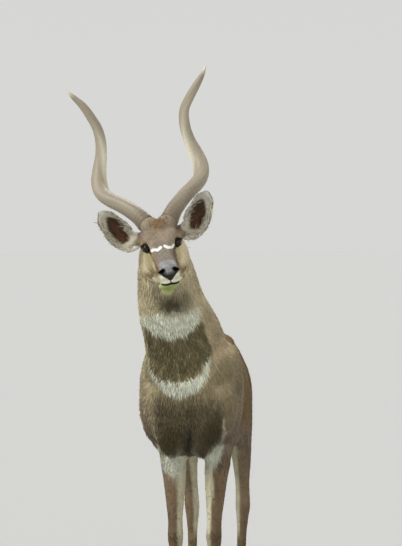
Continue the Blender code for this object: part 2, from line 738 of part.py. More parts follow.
def nostril(side):
    """A comma-shaped hole, deeper at its inner end."""
    x, y, z = NOSTRIL
    place = Matrix.Translation((side * x, y, z)) @ Matrix.Rotation(side * NOSTRIL_TURN, 4, "Y")
    piece = ball((0, 0, 0), NOSTRIL_HALF, -20, 14, 8)
    slit_x, slit_y, slit_z = NOSTRIL_SLIT
    slit = ball((side * slit_x, slit_y, slit_z), SLIT_HALF, 0, 10, 6)
    return [moved(p, head_frame() @ place) for p in (piece, slit)]


def mouth():
    """A thin curved blade that cuts the line between the lips."""
    rings = []
    for angle in np.linspace(-MOUTH_REACH, MOUTH_REACH, 15):
        back = 1 - math.cos(angle)
        x = MOUTH_HALF_WIDTH * math.sin(angle)
        y = MOUTH_FRONT + MOUTH_ROUND * back + max(0.0, abs(angle) - 1.2) * 0.09
        z = MOUTH_HEIGHT + 0.006 * math.cos(3 * angle) * math.exp(-abs(angle) * 2) + 0.004 * abs(angle)
        out = Vector((math.sin(angle), -math.cos(angle), 0))
        here = Vector((x, y, z))
        outer = here + out * CUT_REACH
        rings.append([here - out * MOUTH_DEPTH, outer + Vector((0, 0, MOUTH_OPEN)),
                      outer - Vector((0, 0, MOUTH_OPEN))])
    return moved(loft(np.array([[tuple(p) for p in r] for r in rings])), head_frame())


def claw(foot_x, foot_y, side, outer):
    """One hoof half: flat on the ground, pointed in front, its top on the slant of the coronet."""
    turns = np.linspace(0, 2 * math.pi, 14, endpoint=False)
    along = np.cos(turns)
    narrow = np.where(along < 0, 1 - CLAW_POINT * np.abs(along) ** 2.2, 1.0)
    rings = []
    for height, size, toe, heel in CLAW_RINGS:
        x = side * CLAW_OUT * (1 if outer else -1) + CLAW_HALF_WIDTH * size * np.sin(turns) * narrow
        y = (heel - toe) / 2 + (heel + toe) / 2 * along
        top = CORONET_HEIGHT - CORONET_SLOPE * y - GAP * 1.05
        rings.append(np.c_[foot_x + x, foot_y + y, top * height])
    return loft(rings)


def foot_place(name):
    """The middle of a foot on the ground."""
    rows = FORELEG if name.startswith("fore") else HINDLEG
    side = 1 if name.endswith("left") else -1
    z, y, x = rows[14][:3]
    return side * (x - INSETS[name]), y + stepped(rows, z, STEPS[name])


def lock(root, way, across, wide, thick, length, bend, shares=LOCK_SHARES):
    """A flat tapered lock of hair that starts inside the coat and bends over."""
    way = Vector(way).normalized()
    rings = []
    for t, share in zip((0.0, 0.35, 0.70, 1.0), shares):
        centre = Vector(root) + way * length * t + Vector(bend) * length * t * t
        ahead = (way + Vector(bend) * 2 * t).normalized()
        side = (Vector(across) - ahead * ahead.dot(Vector(across))).normalized()
        flat = side.cross(ahead).normalized()
        ring = []
        for a, b in ((1, 0), (0, 1), (-1, 0), (0, -1)):
            ring.append(centre + side * a * wide * share / 2 + flat * b * thick * max(share, 0.3) / 2)
        rings.append([tuple(p) for p in ring])
    return loft(np.array(rings))


def crest_line(body):
    """Points along the top of the neck and back of a body, evenly spaced, and the way out at each."""
    rows = through(NECK, 60)[::-1]
    backward = np.cross(np.gradient(rows[:, :3], axis=0), (1, 0, 0))
    backward *= np.sign(backward[:, 1:2])
    backward /= np.linalg.norm(backward, axis=1)[:, None]
    poll, croup = CREST_ENDS
    on_neck = (rows[:, 2] > CREST_NECK_FOOT) & (rows[:, 2] < poll)
    spine = np.array([(0, y, 1.0) for y in np.linspace(WITHERS_Y, croup, 20)])
    middles = np.concatenate([rows[on_neck, :3], spine])
    outs = np.concatenate([backward[on_neck], np.tile((0, 0, 1.0), (len(spine), 1))])
    far = np.r_[0, np.cumsum(np.linalg.norm(np.diff(middles + 0.2 * outs, axis=0), axis=1))]
    graph = bpy.context.evaluated_depsgraph_get()
    tree = BVHTree.FromObject(body, graph)
    line, ways = [], []
    for at in np.arange(0, far[-1], CREST_SPACING / 4):
        middle = Vector([np.interp(at, far, middles[:, k]) for k in range(3)])
        out = Vector([np.interp(at, far, outs[:, k]) for k in range(3)]).normalized()
        place = tree.ray_cast(middle + out * 0.6, -out)[0]
        line.append(place)
        ways.append(out)
    steps = [(b - a).length for a, b in zip(line, line[1:])]
    far = np.r_[0, np.cumsum(steps)]
    even = np.arange(CREST_SPACING / 2, far[-1], CREST_SPACING)
    line, ways = np.array(line), np.array(ways)
    return [np.stack([np.interp(even, far, table[:, k]) for k in range(3)], 1) for table in (line, ways)]


def crest_locks(body):
    """Flat overlapping locks of the short crest, laid back along the neck and the spine."""
    rng = random.Random(11)
    made = []
    line, ways = crest_line(body)
    for i, (at, out, ahead) in enumerate(zip(line, ways, np.gradient(line, axis=0))):
        ahead = Vector(ahead).normalized()
        out = (Vector(out) - ahead * ahead.dot(Vector(out))).normalized()
        height = CREST_HEIGHT * (1.0 if at[2] > CREST_NECK_FOOT else BACK_CREST) * rng.uniform(0.88, 1.15)
        lean = Vector((rng.uniform(0.5, 1.5) * (CREST_LEAN if i % 2 else -CREST_LEAN), 0, 0))
        root = Vector(at) - out * CREST_ROOT + Vector((rng.uniform(-0.003, 0.003), 0, 0))
        wide = CREST_WIDTH * rng.uniform(0.9, 1.1)
        made.append(lock(root, out + ahead * CREST_LIE + lean, ahead, wide, CREST_THICKNESS, height,
                         ahead * CREST_BEND, CREST_SHARES))
    return made


def tail_locks():
    rng = random.Random(5)
    rows = through(TAIL, 40)
    made = []
    for i in range(TAIL_LOCKS):
        t = (i + 0.5) / TAIL_LOCKS
        first, last = TAIL_LOCK_SPAN
        y, z, wide, deep = rows[int(first + t * (last - first))]
        turn = i * TAIL_LOCK_TURN
        out = Vector((math.sin(turn), math.cos(turn), 0))
        root = Vector((out.x * wide * 0.45, y + out.y * deep * 0.45, z))
        long = rng.uniform(*TAIL_LOCK_LENGTHS) * (1.0 if t < 0.8 else 0.8)
        across = Vector((out.y, -out.x, 0))
        made.append(lock(root, Vector((0, 0, -1)) + out * 0.50, across, TAIL_LOCK_WIDTH, TAIL_LOCK_THICKNESS,
                         long, -out * 0.30))
    return made


def material(name, kind):
    colour, rough = COLOURS[kind]
    mat = bpy.data.materials.new(name)
    mat.use_nodes = True
    shader = mat.node_tree.nodes["Principled BSDF"]
    shader.inputs["Base Color"].default_value = (*colour, 1)
    shader.inputs["Roughness"].default_value = rough
    shader.inputs["Metallic"].default_value = 0.0
    mat.diffuse_color = (*colour, 1)
    return mat


def finish_node(ob, kind, collection, shift):
    for holder in list(ob.users_collection):
        holder.objects.unlink(ob)
    collection.objects.link(ob)
    ob.data.materials.clear()
    ob.data.materials.append(material(ob.name, kind))
    work = bmesh.new()
    work.from_mesh(ob.data)
    bmesh.ops.recalc_face_normals(work, faces=work.faces)
    bmesh.ops.translate(work, verts=work.verts, vec=shift)
    work.to_mesh(ob.data)
    work.free()
    ob.data.shade_smooth()


def to_middle(nodes):
    """The move that puts the middle of the whole box's base at the origin."""
    corners = np.array([v.co for ob, _ in nodes for v in ob.data.vertices])
    low, high = corners.min(0), corners.max(0)
    return Vector((-(low[0] + high[0]) / 2, -(low[1] + high[1]) / 2, -low[2]))


def copy_of(ob, name):
    twin = bpy.data.objects.new(name, ob.data.copy())
    bpy.context.scene.collection.objects.link(twin)
    return twin


def leg_box(name, gap):
    """The space that holds one leg below its cut."""
    side = 1 if name.endswith("left") else -1
    front, rear = FORELEG_SPAN if name.startswith("fore") else HINDLEG_SPAN
    x = sorted((side * (LEG_INNER - gap), side * LEG_OUTER))
    return block((x[0], front, -0.1), (x[1], rear, LEG_TOP + gap))


def build_body(nodes):
    """Torso, neck and legs, melted as one skin and parted by thin cuts."""
    legs = leg_parts()
    pieces = [torso(), neck()] + both_sides(BODY_FORMS) + head_pieces()
    pieces.append(swept([(0, y, z, w, d) for y, z, w, d in through(TAIL[:4], 12)]))
    for some in legs.values():
        pieces += some
    whole = object_from("whole", pieces)
    fuse(whole, BODY_VOXEL)
    first, above_legs, last = BODY_ROUNDS
    relax(whole, first)
    relax(whole, above_legs, 0.0, LEG_TOP)
    relax(whole, last, 1.0)
    thin_out(whole, BODY_FACES)
    combine(whole, crest_locks(whole), "UNION", "EXACT")
    slice_off(whole, (0, TAIL_CUT_Y, 0), (0, 1, 0), GAP)
    slice_off(whole, *NECK_TOP_CUT, gap=GAP)
    neck_ob = copy_of(whole, "neck")
    slice_off(neck_ob, NECK_BASE_CUT[0], [-v for v in NECK_BASE_CUT[1]])
    slice_off(whole, *NECK_BASE_CUT, gap=GAP)
    for name in legs:
        part = copy_of(whole, name)
        combine(part, [leg_box(name, 0)], "INTERSECT")
        x, y = foot_place(name)
        slice_off(part, (x, y, CORONET_HEIGHT), (0, -CORONET_SLOPE, -1))
        nodes.append((part, "leg"))
    combine(whole, [leg_box(name, GAP) for name in legs], "DIFFERENCE")
    whole.name = "torso"
    nodes += [(whole, "coat"), (neck_ob, "neck")]


def build_head(nodes):
    top_of_neck = swept(through(NECK[3:], 12))
    head = object_from("head", head_pieces() + [top_of_neck])
    fuse(head, HEAD_VOXEL)
    first, last = HEAD_ROUNDS
    relax(head, first)
    relax(head, last, 1.0)
    thin_out(head, HEAD_FACES)
    slice_off(head, NECK_TOP_CUT[0], [-v for v in NECK_TOP_CUT[1]])
    combine(head, [eye_opening(1), eye_opening(-1)], "DIFFERENCE")
    combine(head, [lid(1), lid(-1)], "UNION")
    cutters = [eyeball(1, EYE_RADIUS + GAP * 1.2), eyeball(-1, EYE_RADIUS + GAP * 1.2)]
    cutters += nostril(1) + nostril(-1) + [mouth()]
    for frame, line, count, radius in ((horn_frame(), HORN, HORN_RINGS, HORN[0][3] * HORN_SEAT),
                                       (face_frame(), EAR_LINE, EAR_RINGS, EAR[0][0] * EAR_SEAT)):
        seat = rod(*root_of(line, count), radius, SEAT_LENGTH)
        cutters += [moved(p, frame) for p in (seat, mirrored(seat))]
    for cutter in cutters:
        combine(head, [cutter], "DIFFERENCE")
    nodes.append((head, "head"))


def build_small_parts(nodes):
    for side, word in ((1, "left"), (-1, "right")):
        pair = ((loft(horn(side)), horn_frame(), "horn"), (loft(ear()), face_frame(), "ear"))
        for piece, frame, kind in pair:
            one = piece if side > 0 else mirrored(piece)
            nodes.append((object_from(f"{kind}_{word}", [moved(one, frame)]), kind))
        nodes.append((object_from(f"eye_{word}", [eyeball(side, EYE_RADIUS)]), "eye"))
    for name in STEPS:
        x, y = foot_place(name)
        side = 1 if name.endswith("left") else -1
        place = name.replace("leg", "")
        for outer, word in ((True, "outer"), (False, "inner")):
            nodes.append((object_from(f"hoof_{place}_{word}", [claw(x, y, side, outer)]), "hoof"))


def build_tail(nodes):
    tail = object_from("tail", [swept([(0, y, z, w, d) for y, z, w, d in through(TAIL, 22)], 12)])
    slice_off(tail, (0, TAIL_CUT_Y, 0), (0, -1, 0))
    combine(tail, tail_locks(), "UNION")
    nodes.append((tail, "tail"))


def main():
    clear_scene()
    parts = bpy.data.collections.new("mountain_nyala_bull")
    bpy.context.scene.collection.children.link(parts)
    nodes = []
    build_body(nodes)
    build_head(nodes)
    build_small_parts(nodes)
    build_tail(nodes)
    shift = to_middle(nodes)
    for ob, kind in nodes:
        finish_node(ob, kind, parts, shift)


main()
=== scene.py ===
"""The finished look of the mountain nyala bull: one skin, its coat in tufts, horns, eyes and hooves."""

import json
import math

import bmesh
import bpy
import numpy as np
from mathutils import Matrix, Vector
from mathutils.bvhtree import BVHTree

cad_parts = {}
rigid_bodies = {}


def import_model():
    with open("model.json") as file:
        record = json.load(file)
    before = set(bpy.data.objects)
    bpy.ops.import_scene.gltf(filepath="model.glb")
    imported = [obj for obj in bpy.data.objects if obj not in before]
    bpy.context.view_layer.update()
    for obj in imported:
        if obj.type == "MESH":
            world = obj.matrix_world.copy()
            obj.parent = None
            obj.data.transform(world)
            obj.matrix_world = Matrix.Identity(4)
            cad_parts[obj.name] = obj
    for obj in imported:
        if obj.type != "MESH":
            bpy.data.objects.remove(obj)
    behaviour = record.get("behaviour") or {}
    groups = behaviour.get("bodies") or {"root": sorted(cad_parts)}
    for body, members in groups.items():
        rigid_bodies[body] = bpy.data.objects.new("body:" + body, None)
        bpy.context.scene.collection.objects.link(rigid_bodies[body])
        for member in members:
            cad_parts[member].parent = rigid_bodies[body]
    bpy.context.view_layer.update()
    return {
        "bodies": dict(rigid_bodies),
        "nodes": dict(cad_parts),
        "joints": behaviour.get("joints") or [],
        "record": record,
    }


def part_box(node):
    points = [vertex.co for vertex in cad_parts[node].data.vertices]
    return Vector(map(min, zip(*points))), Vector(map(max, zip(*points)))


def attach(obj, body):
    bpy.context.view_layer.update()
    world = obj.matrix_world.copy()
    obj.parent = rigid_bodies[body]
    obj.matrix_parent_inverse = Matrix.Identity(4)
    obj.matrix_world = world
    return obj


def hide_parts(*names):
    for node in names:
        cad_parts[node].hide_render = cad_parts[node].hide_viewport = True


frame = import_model()

# Named sizes in metres, and turns in radians
EYE_MIDDLE = (-0.079, -0.45, 1.640)
HEAD_TURN = math.radians(6)    # toward its left
MUZZLE_TURN = math.radians(3.0)  # the face's own turn, past that of the ears
HEAD_ROLL = math.radians(-10.9)
HEAD_PITCH = math.radians(18.5)
HORN_ROLL = math.radians(-9.9)
EYE_RADIUS = 0.0205
EYE_OUT = 0.0620               # eyeball's centre from the head's midline
EYE_BACK = 0.001
EYE_UP = 0.002
EYE_AIM = math.radians(43)      # outward from straight ahead
EYE_LIFT = 0.06                # how much an eye looks up
NOSTRIL = (0.0300, -0.234, -0.027)
NOSTRIL_TURN = math.radians(32)
MOUTH_HEIGHT = -0.089
NECK_TOP_CUT = ((-0.085, -0.300, 1.580), (0.0, -0.75, 0.66))
NECK_BASE_CUT = ((-0.020, -0.070, 1.150), (0.0, -0.62, 0.785))
TAIL_CUT_Y = 1.160
LEG_TOP = 0.675
CORONET_HEIGHT = 0.058
CORONET_SLOPE = 0.30
STEP_EASE = 0.8                # how a step spreads down the leg
DEW_CLAW = (0.008, 0.008, 0.015)
DEW_OUT = 0.013
DEW_BACK = 0.040
DEW_HEIGHT = 0.100
CLAW_OUT = 0.0163
CLAW_HALF_WIDTH = 0.0145
EAR_THICKNESS = 0.0055
EAR_BACK_WAY = (-0.25, 1.0, 0.0)        # where the back of an ear faces
EAR_RINGS = 11
HORN_RINGS = 26
HORN_BODY = 0.94               # radius between the keel and the back ridge, as a share
HORN_KEEL = 0.30               # the keel's height as a share of the horn's radius
HORN_KEEL_SPREAD = 0.55
HORN_BACK_RIDGE = 0.10
HORN_BACK_SPREAD = 0.60
HORN_TWIST = math.radians(330)
HORN_TWIST_START = math.radians(200)
HORN_SWAY = 0.014              # both tips lean toward its left
HORN_SWAY_HEIGHTS = (0.54, 0.66)

# Torso stations: y, top, bottom, height of the widest point, half width, squareness of the upper half
TORSO = (
    (-0.255, 1.080, 0.880, 0.980, 0.070, 2.0),
    (-0.215, 1.170, 0.790, 0.970, 0.140, 2.0),
    (-0.130, 1.240, 0.765, 0.960, 0.187, 1.9),
    (0.000, 1.275, 0.742, 0.960, 0.206, 1.7),
    (0.130, 1.280, 0.732, 0.950, 0.206, 1.7),
    (0.300, 1.255, 0.722, 0.940, 0.208, 1.8),
    (0.470, 1.240, 0.717, 0.930, 0.206, 1.8),
    (0.620, 1.240, 0.724, 0.935, 0.200, 1.8),
    (0.760, 1.250, 0.754, 0.945, 0.184, 1.8),
    (0.880, 1.258, 0.790, 0.955, 0.170, 1.8),
    (1.000, 1.236, 0.842, 0.985, 0.150, 1.9),
    (1.090, 1.188, 0.905, 1.020, 0.118, 2.0),
    (1.135, 1.135, 0.970, 1.040, 0.074, 2.0),
)
# Neck stations: centre x, y, z, half width, half depth
NECK = (
    (0.000, 0.040, 1.000, 0.180, 0.235),
    (-0.009, -0.045, 1.120, 0.181, 0.215),
    (-0.022, -0.120, 1.240, 0.171, 0.182),
    (-0.065, -0.190, 1.383, 0.147, 0.155),
    (-0.083, -0.250, 1.520, 0.125, 0.134),
    (-0.088, -0.300, 1.610, 0.103, 0.116),
    (-0.086, -0.345, 1.675, 0.078, 0.088),
)
# Leg stations: height, y, x, half width, half depth
FORELEG = (
    (0.920, 0.000, 0.125, 0.070, 0.120),
    (0.840, 0.020, 0.120, 0.066, 0.112),
    (0.760, 0.034, 0.110, 0.062, 0.090),
    (0.690, 0.032, 0.104, 0.057, 0.070),
    (0.620, 0.024, 0.100, 0.050, 0.057),
    (0.540, 0.014, 0.098, 0.041, 0.046),
    (0.465, 0.006, 0.096, 0.0335, 0.037),
    (0.410, 0.002, 0.095, 0.0355, 0.039),
    (0.370, 0.003, 0.095, 0.0335, 0.036),
    (0.325, 0.008, 0.094, 0.0250, 0.028),
    (0.250, 0.010, 0.093, 0.0220, 0.0255),
    (0.190, 0.010, 0.092, 0.0225, 0.026),
    (0.145, 0.008, 0.091, 0.0290, 0.033),
    (0.105, -0.006, 0.090, 0.0260, 0.028),
    (0.065, -0.020, 0.090, 0.0305, 0.033),
    (0.020, -0.026, 0.090, 0.0310, 0.036),
)
HINDLEG = (
    (1.000, 0.940, 0.098, 0.068, 0.172),
    (0.900, 0.925, 0.108, 0.064, 0.160),
    (0.810, 0.918, 0.113, 0.058, 0.134),
    (0.730, 0.935, 0.117, 0.050, 0.099),
    (0.650, 0.972, 0.117, 0.0425, 0.070),
    (0.580, 1.015, 0.115, 0.0350, 0.051),
    (0.520, 1.050, 0.113, 0.0335, 0.045),
    (0.465, 1.070, 0.112, 0.0350, 0.046),
    (0.415, 1.070, 0.110, 0.0295, 0.038),
    (0.345, 1.060, 0.108, 0.0240, 0.031),
    (0.250, 1.045, 0.106, 0.0225, 0.028),
    (0.190, 1.038, 0.105, 0.0235, 0.029),
    (0.145, 1.032, 0.104, 0.0290, 0.034),
    (0.105, 1.014, 0.104, 0.0265, 0.029),
    (0.065, 0.998, 0.104, 0.0305, 0.033),
    (0.020, 0.992, 0.104, 0.0310, 0.036),
)
# Each foot's step forward (-) or back (+) of the square stance
STEPS = {"foreleg_left": -0.030, "foreleg_right": 0.030, "hindleg_left": 0.035, "hindleg_right": -0.045}
# How much nearer the midline a leg stands than its stations say
INSETS = {"foreleg_left": 0.0, "foreleg_right": 0.022, "hindleg_left": 0.0, "hindleg_right": 0.0}
# Head stations: y along the face from between the eyes, top, bottom, half width above, half width below
HEAD = (
    (0.155, 0.030, -0.075, 0.040, 0.036),
    (0.120, 0.062, -0.110, 0.062, 0.056),
    (0.075, 0.076, -0.134, 0.073, 0.062),
    (0.030, 0.071, -0.141, 0.077, 0.060),
    (0.000, 0.058, -0.136, 0.074, 0.056),
    (-0.040, 0.040, -0.127, 0.059, 0.048),
    (-0.085, 0.026, -0.122, 0.047, 0.040),
    (-0.130, 0.015, -0.119, 0.040, 0.037),
    (-0.175, 0.006, -0.119, 0.041, 0.040),
    (-0.205, -0.001, -0.124, 0.0455, 0.043),
    (-0.230, -0.012, -0.114, 0.0435, 0.037),
    (-0.247, -0.034, -0.092, 0.028, 0.024),
)
# Swellings: centre, half sizes, lean forward or back in degrees; those off the midline are mirrored
BODY_FORMS = (
    ((0.160, -0.020, 1.015), (0.064, 0.130, 0.220), -14),
    ((0.128, -0.155, 0.960), (0.084, 0.085, 0.125), -10),
    ((0.150, 0.060, 0.868), (0.050, 0.110, 0.098), 0),
    ((0.062, -0.190, 0.870), (0.078, 0.075, 0.130), 0),
    ((0.060, -0.115, 1.110), (0.128, 0.135, 0.150), 0),
    ((0.040, 0.075, 1.215), (0.072, 0.150, 0.085), -12),
    ((0.092, 0.920, 0.958), (0.080, 0.180, 0.190), 10),
    ((0.114, 0.815, 0.850), (0.052, 0.088, 0.118), 0),
    ((0.076, 1.015, 0.990), (0.074, 0.096, 0.165), 14),
    ((0.100, 1.000, 0.850), (0.046, 0.062, 0.130), 10),
    ((0.060, 0.790, 1.198), (0.048, 0.085, 0.042), 0),
    ((0.000, 0.680, 0.738), (0.032, 0.100, 0.034), -8),
    ((0.000, 0.985, 0.775), (0.042, 0.044, 0.070), 0),
    ((0.000, 1.115, 1.125), (0.038, 0.070, 0.048), 20),
)
LEG_FORMS = (
    ((0.095, -0.018, 0.405), (0.030, 0.024, 0.040), 0, "foreleg"),
    ((0.096, 0.044, 0.415), (0.018, 0.016, 0.030), 0, "foreleg"),
    ((0.091, 0.028, 0.135), (0.022, 0.018, 0.022), 0, "foreleg"),
    ((0.114, 1.103, 0.505), (0.0175, 0.022, 0.058), 8, "hindleg"),
    ((0.105, 1.054, 0.135), (0.022, 0.018, 0.022), 0, "hindleg"),
)
# Swellings of the head, in its own frame
HEAD_FORMS = (
    ((0.057, 0.023, 0.004), (0.030, 0.034, 0.034), 0),
    ((0.046, 0.020, 0.036), (0.034, 0.042, 0.030), 0),
    ((0.044, 0.045, -0.070), (0.032, 0.060, 0.058), 0),
    ((0.030, -0.060, -0.062), (0.026, 0.060, 0.030), 0),
    ((0.000, 0.062, 0.062), (0.062, 0.056, 0.032), 0),
    ((0.000, -0.222, -0.021), (0.034, 0.026, 0.025), 0),
    ((0.030, -0.224, -0.027), (0.018, 0.022, 0.022), 0),
    ((0.025, -0.221, -0.064), (0.027, 0.024, 0.026), 0),
    ((0.000, -0.226, -0.046), (0.020, 0.020, 0.030), 0),
)
# The chin lies to its right, as the jaw is pushed sideways in chewing
CHIN_FORMS = (
    ((-0.017, -0.198, -0.118), (0.027, 0.030, 0.033)),
    ((-0.009, -0.205, -0.103), (0.0445, 0.030, 0.015)),
)
# Ends of the stalk that carries each ear and of the core that carries each horn: half sizes, depth
EAR_STALK = ((0.035, 0.035, 0.048), 0.022)
HORN_CORE = ((0.041, 0.041, 0.050), 0.036)
# Horn stations in its own upright frame: out, back, up from between the eyes, radius
HORN = (
    (0.053, 0.052, 0.111, 0.0345),
    (0.081, 0.075, 0.1455, 0.0345),
    (0.131, 0.118, 0.190, 0.0338),
    (0.181, 0.162, 0.226, 0.0328),
    (0.211, 0.198, 0.258, 0.0318),
    (0.219, 0.232, 0.303, 0.0305),
    (0.209, 0.258, 0.356, 0.0278),
    (0.190, 0.270, 0.417, 0.0256),
    (0.181, 0.268, 0.477, 0.0243),
    (0.187, 0.256, 0.538, 0.0224),
    (0.212, 0.243, 0.591, 0.0190),
    (0.242, 0.234, 0.638, 0.0146),
    (0.279, 0.228, 0.685, 0.0082),
    (0.298, 0.225, 0.716, 0.0014),
)
# Ear's middle line in the face's upright frame: out, back, up
EAR_LINE = (
    (0.086, 0.086, 0.040),
    (0.140, 0.080, 0.051),
    (0.184, 0.068, 0.112),
    (0.229, 0.062, 0.187),
)
# Ear stations: half width, depth of the cup, how open its front is (-1 is a closed round stalk)
EAR = (
    (0.030, 0.027, -1.0),
    (0.038, 0.034, -0.35),
    (0.049, 0.038, 0.70),
    (0.056, 0.037, 0.92),
    (0.056, 0.031, 0.95),
    (0.049, 0.024, 0.95),
    (0.040, 0.016, 0.92),
    (0.0090, 0.006, 0.60),
)
# Rings of a hoof half: share of its height, share of its width, toe, heel
CLAW_RINGS = (
    (0.00, 0.94, 0.058, 0.031),
    (0.10, 1.00, 0.060, 0.033),
    (0.50, 0.96, 0.047, 0.032),
    (1.00, 0.90, 0.033, 0.030),
)
TAIL = (
    (1.135, 1.135, 0.024, 0.024),
    (1.175, 1.120, 0.026, 0.026),
    (1.200, 1.060, 0.030, 0.026),
    (1.206, 0.980, 0.038, 0.030),
    (1.203, 0.890, 0.042, 0.031),
    (1.195, 0.800, 0.034, 0.025),
    (1.188, 0.740, 0.014, 0.012),
)
OPEN_HALF = 0.0200             # the opening between the lids
OPEN_ABOVE = 0.0150
OPEN_BELOW = 0.0122
EYE_SLANT = 0.14
LID_THICKNESS = 0.0022
VIEW_TURN = math.radians(6)    # the camera stands this far to the animal's left
VIEW_RISE = math.radians(1.0)
VIEW_DISTANCE = 22.0
VIEW_HEIGHT = 546 / 235        # metres that the frame's height shows
VIEW_CENTRE = ((201 - 192.1) / 235, (630 - 273) / 235)
SENSOR = 36                    # mm
# Distant lights: name, where from, how wide each looks, strength
LIGHTS = (
    ("key", (-6.0, -3.8, 6.2), math.radians(28), 2.1),
    ("fill", (4.0, -6.0, 2.5), math.radians(60), 0.35),
    ("rim", (1.5, 5.5, 6.0), math.radians(30), 1.3),
)
SKY_LOW = (0.68, 0.68, 0.665, 1)
SKY_HIGH = (0.54, 0.54, 0.525, 1)
SKIN_VOXEL = 0.0075
HEAD_SKIN_VOXEL = 0.0030
BODY_TRIANGLES = 44000
JOIN_LAP = 0.012               # the head's skin reaches this far into the neck's
PATCH = 0.003                  # size of a tuft's patch on the bake's map
TUFT_SINK = 0.0015
COLOUR_NAME = "coat"
BARE_NAME = "bare"
RIPPLE_WAVES = 8               # sine waves in one uneven field
RIPPLE_SPREAD = (0.6, 1.5)     # how much finer or coarser one wave is than asked for
MIRROR = Matrix.Diagonal((-1, 1, 1, 1))

# Points round the forms, and rings along them
TORSO_SIDES, TORSO_RINGS = 56, 48
TUBE_SIDES = 36
NECK_RINGS = 40
LEG_SIDES, LEG_RINGS = 30, 60
TAIL_SIDES, TAIL_RINGS = 20, 30
SKULL_SIDES, SKULL_RINGS = 48, 48
EAR_ARC, EAR_ROWS = 22, 44
HORN_SIDES, HORN_ROWS = 60, 230
CLAW_SIDES, CLAW_ROWS = 40, 22
EYE_SIDES, EYE_BANDS = 64, 48
BALL_SIDES = 32
LEG_BALL_SIDES = 24
DEW_SIDES = 16

# Rows of the leg tables where a step begins, and where the fetlock and the foot are
STEP_ROW = 2
FETLOCK_ROW = 13
FOOT_ROW = 14
DEW_LEAN = -20                 # degrees
FOOT_REACH = 0.085             # half the box that holds one foot
FOOT_TOP = 0.14

# How the forms' outlines are rounded: powers of the sine and cosine
FLANK_POWER = 0.9
BELLY_POWER = 0.95
JAW_POWER = 0.7
SKULL_POWER = 0.85
CHEEK_RISE = 0.30              # how much the sides of the skull are raised

# The ear's finer shape
EAR_TIP_THINNING = 0.45
EAR_WAVE = 0.02
EAR_WAVES = 13
EAR_FOLD = 0.0016
EAR_FOLDS = 7
EAR_ROOT_SINK = 0.02
EAR_ROOT_SIZE = 0.8

# Lids: the rim's place in shares of the opening, its half width and height, and the same for the folds
LID_RIM = (1.14, 0.12, 0.0010)
UPPER_FOLD = (1.60, 0.14, 0.0020)
LOWER_FOLD = (1.55, 0.16, 0.0012)
FOLD_FADE = 0.006
SOCKET_SINK = 0.006
# Folds along the mouth: height over its line, half width, how far they push the skin out
LIP_FOLDS = (
    (0.0, 0.0022, -0.0085),
    (0.010, 0.006, 0.0020),
    (-0.010, 0.007, 0.0022),
)
LIP_SPLIT = (0.0016, 0.0024)   # half width and depth of the line under the nose
MOUTH_MIDDLE_Y = -0.195
MOUTH_CREST = 0.006
MOUTH_RISE = 0.004
NOSTRIL_HALF = (0.0115, 0.0062)
NOSTRIL_CURVE = 18
NOSTRIL_NARROWING = 0.10
NOSTRIL_DEPTH = 0.016
NOSTRIL_WING = (1.35, 0.25, 0.0016)
NOSTRIL_INWARD = (0.45, 0.90, 0.15)
FAR_OFF = 9.0                  # stands for a place that is nowhere near

# How strongly and how often the skins are evened
PUSH_IN = 0.5
PUSH_OUT = -0.52
LEG_ROUNDS = 7
BODY_ROUNDS = 39
BODY_FIRM_ROUNDS = 10
HEAD_ROUNDS = 13
HEAD_FIRM_ROUNDS = 12
EAR_ROOT_ROUNDS = 5
JOIN_ROUNDS = 14


def through(rows, count):
    """A station table resampled as count rows of one smooth curve."""
    rows = np.array(rows, float)
    t = np.linspace(0, len(rows) - 1, count)
    i = np.clip(t.astype(int), 0, len(rows) - 2)
    f = (t - i)[:, None]
    here, after = rows[i], rows[i + 1]
    before = rows[np.maximum(i - 1, 0)]
    beyond = rows[np.minimum(i + 2, len(rows) - 1)]
    bend = 2 * before - 5 * here + 4 * after - beyond + f * (3 * (here - after) + beyond - before)
    return here + 0.5 * f * (after - before + f * bend)


def soft(low, high, x):
    """0 below low, 1 above high, smooth between; low may be the larger."""
    t = np.clip((np.asarray(x, float) - low) / (high - low), 0, 1)
    return t * t * (3 - 2 * t)


def hump(x, at, half):
    """1 where x is at a value, falling off smoothly on both sides of it."""
    return np.exp(-((x - at) / half) ** 2)


def spot(a, b, at, half, sharp=1):
    """1 at a place, falling off round it; a larger sharp makes the middle flatter and the edge steeper."""
    return np.exp(-(((a - at[0]) / half[0]) ** 2 + ((b - at[1]) / half[1]) ** 2) ** sharp)


def around(count):
    """So many angles, evenly spread round a circle."""
    return np.linspace(0, 2 * math.pi, count, endpoint=False)


def unit(v):
    """Vectors made one long."""
    return v / np.maximum(np.linalg.norm(v, axis=-1, keepdims=True), 1e-9)


def linear(red, green, blue):
    """A colour given in 0 to 255 steps as the light it stands for."""
    c = np.array((red, green, blue)) / 255
    return np.where(c <= 0.04045, c / 12.92, ((c + 0.055) / 1.055) ** 2.4)


def ripple(points, per_metre, seed):
    """Smooth uneven values over space, mostly between -1 and 1."""
    rng = np.random.default_rng(seed)
    total = 0
    for _ in range(RIPPLE_WAVES):
        way = rng.normal(size=3)
        way *= per_metre * rng.uniform(*RIPPLE_SPREAD) / np.linalg.norm(way)
        total = total + np.sin(points @ way * 2 * math.pi + rng.uniform(0, 2 * math.pi))
    return total / math.sqrt(RIPPLE_WAVES)


# Frames

def face_frame():
    """The face's upright frame: turned and rolled with the head, not pitched."""
    turn = Matrix.Rotation(HEAD_TURN, 4, "Z") @ Matrix.Rotation(HEAD_ROLL, 4, "Y")
    return Matrix.Translation(EYE_MIDDLE) @ turn


def head_frame():
    """The frame of skull and muzzle: the face's, turned a little further and pitched."""
    return face_frame() @ Matrix.Rotation(MUZZLE_TURN, 4, "Z") @ Matrix.Rotation(HEAD_PITCH, 4, "X")


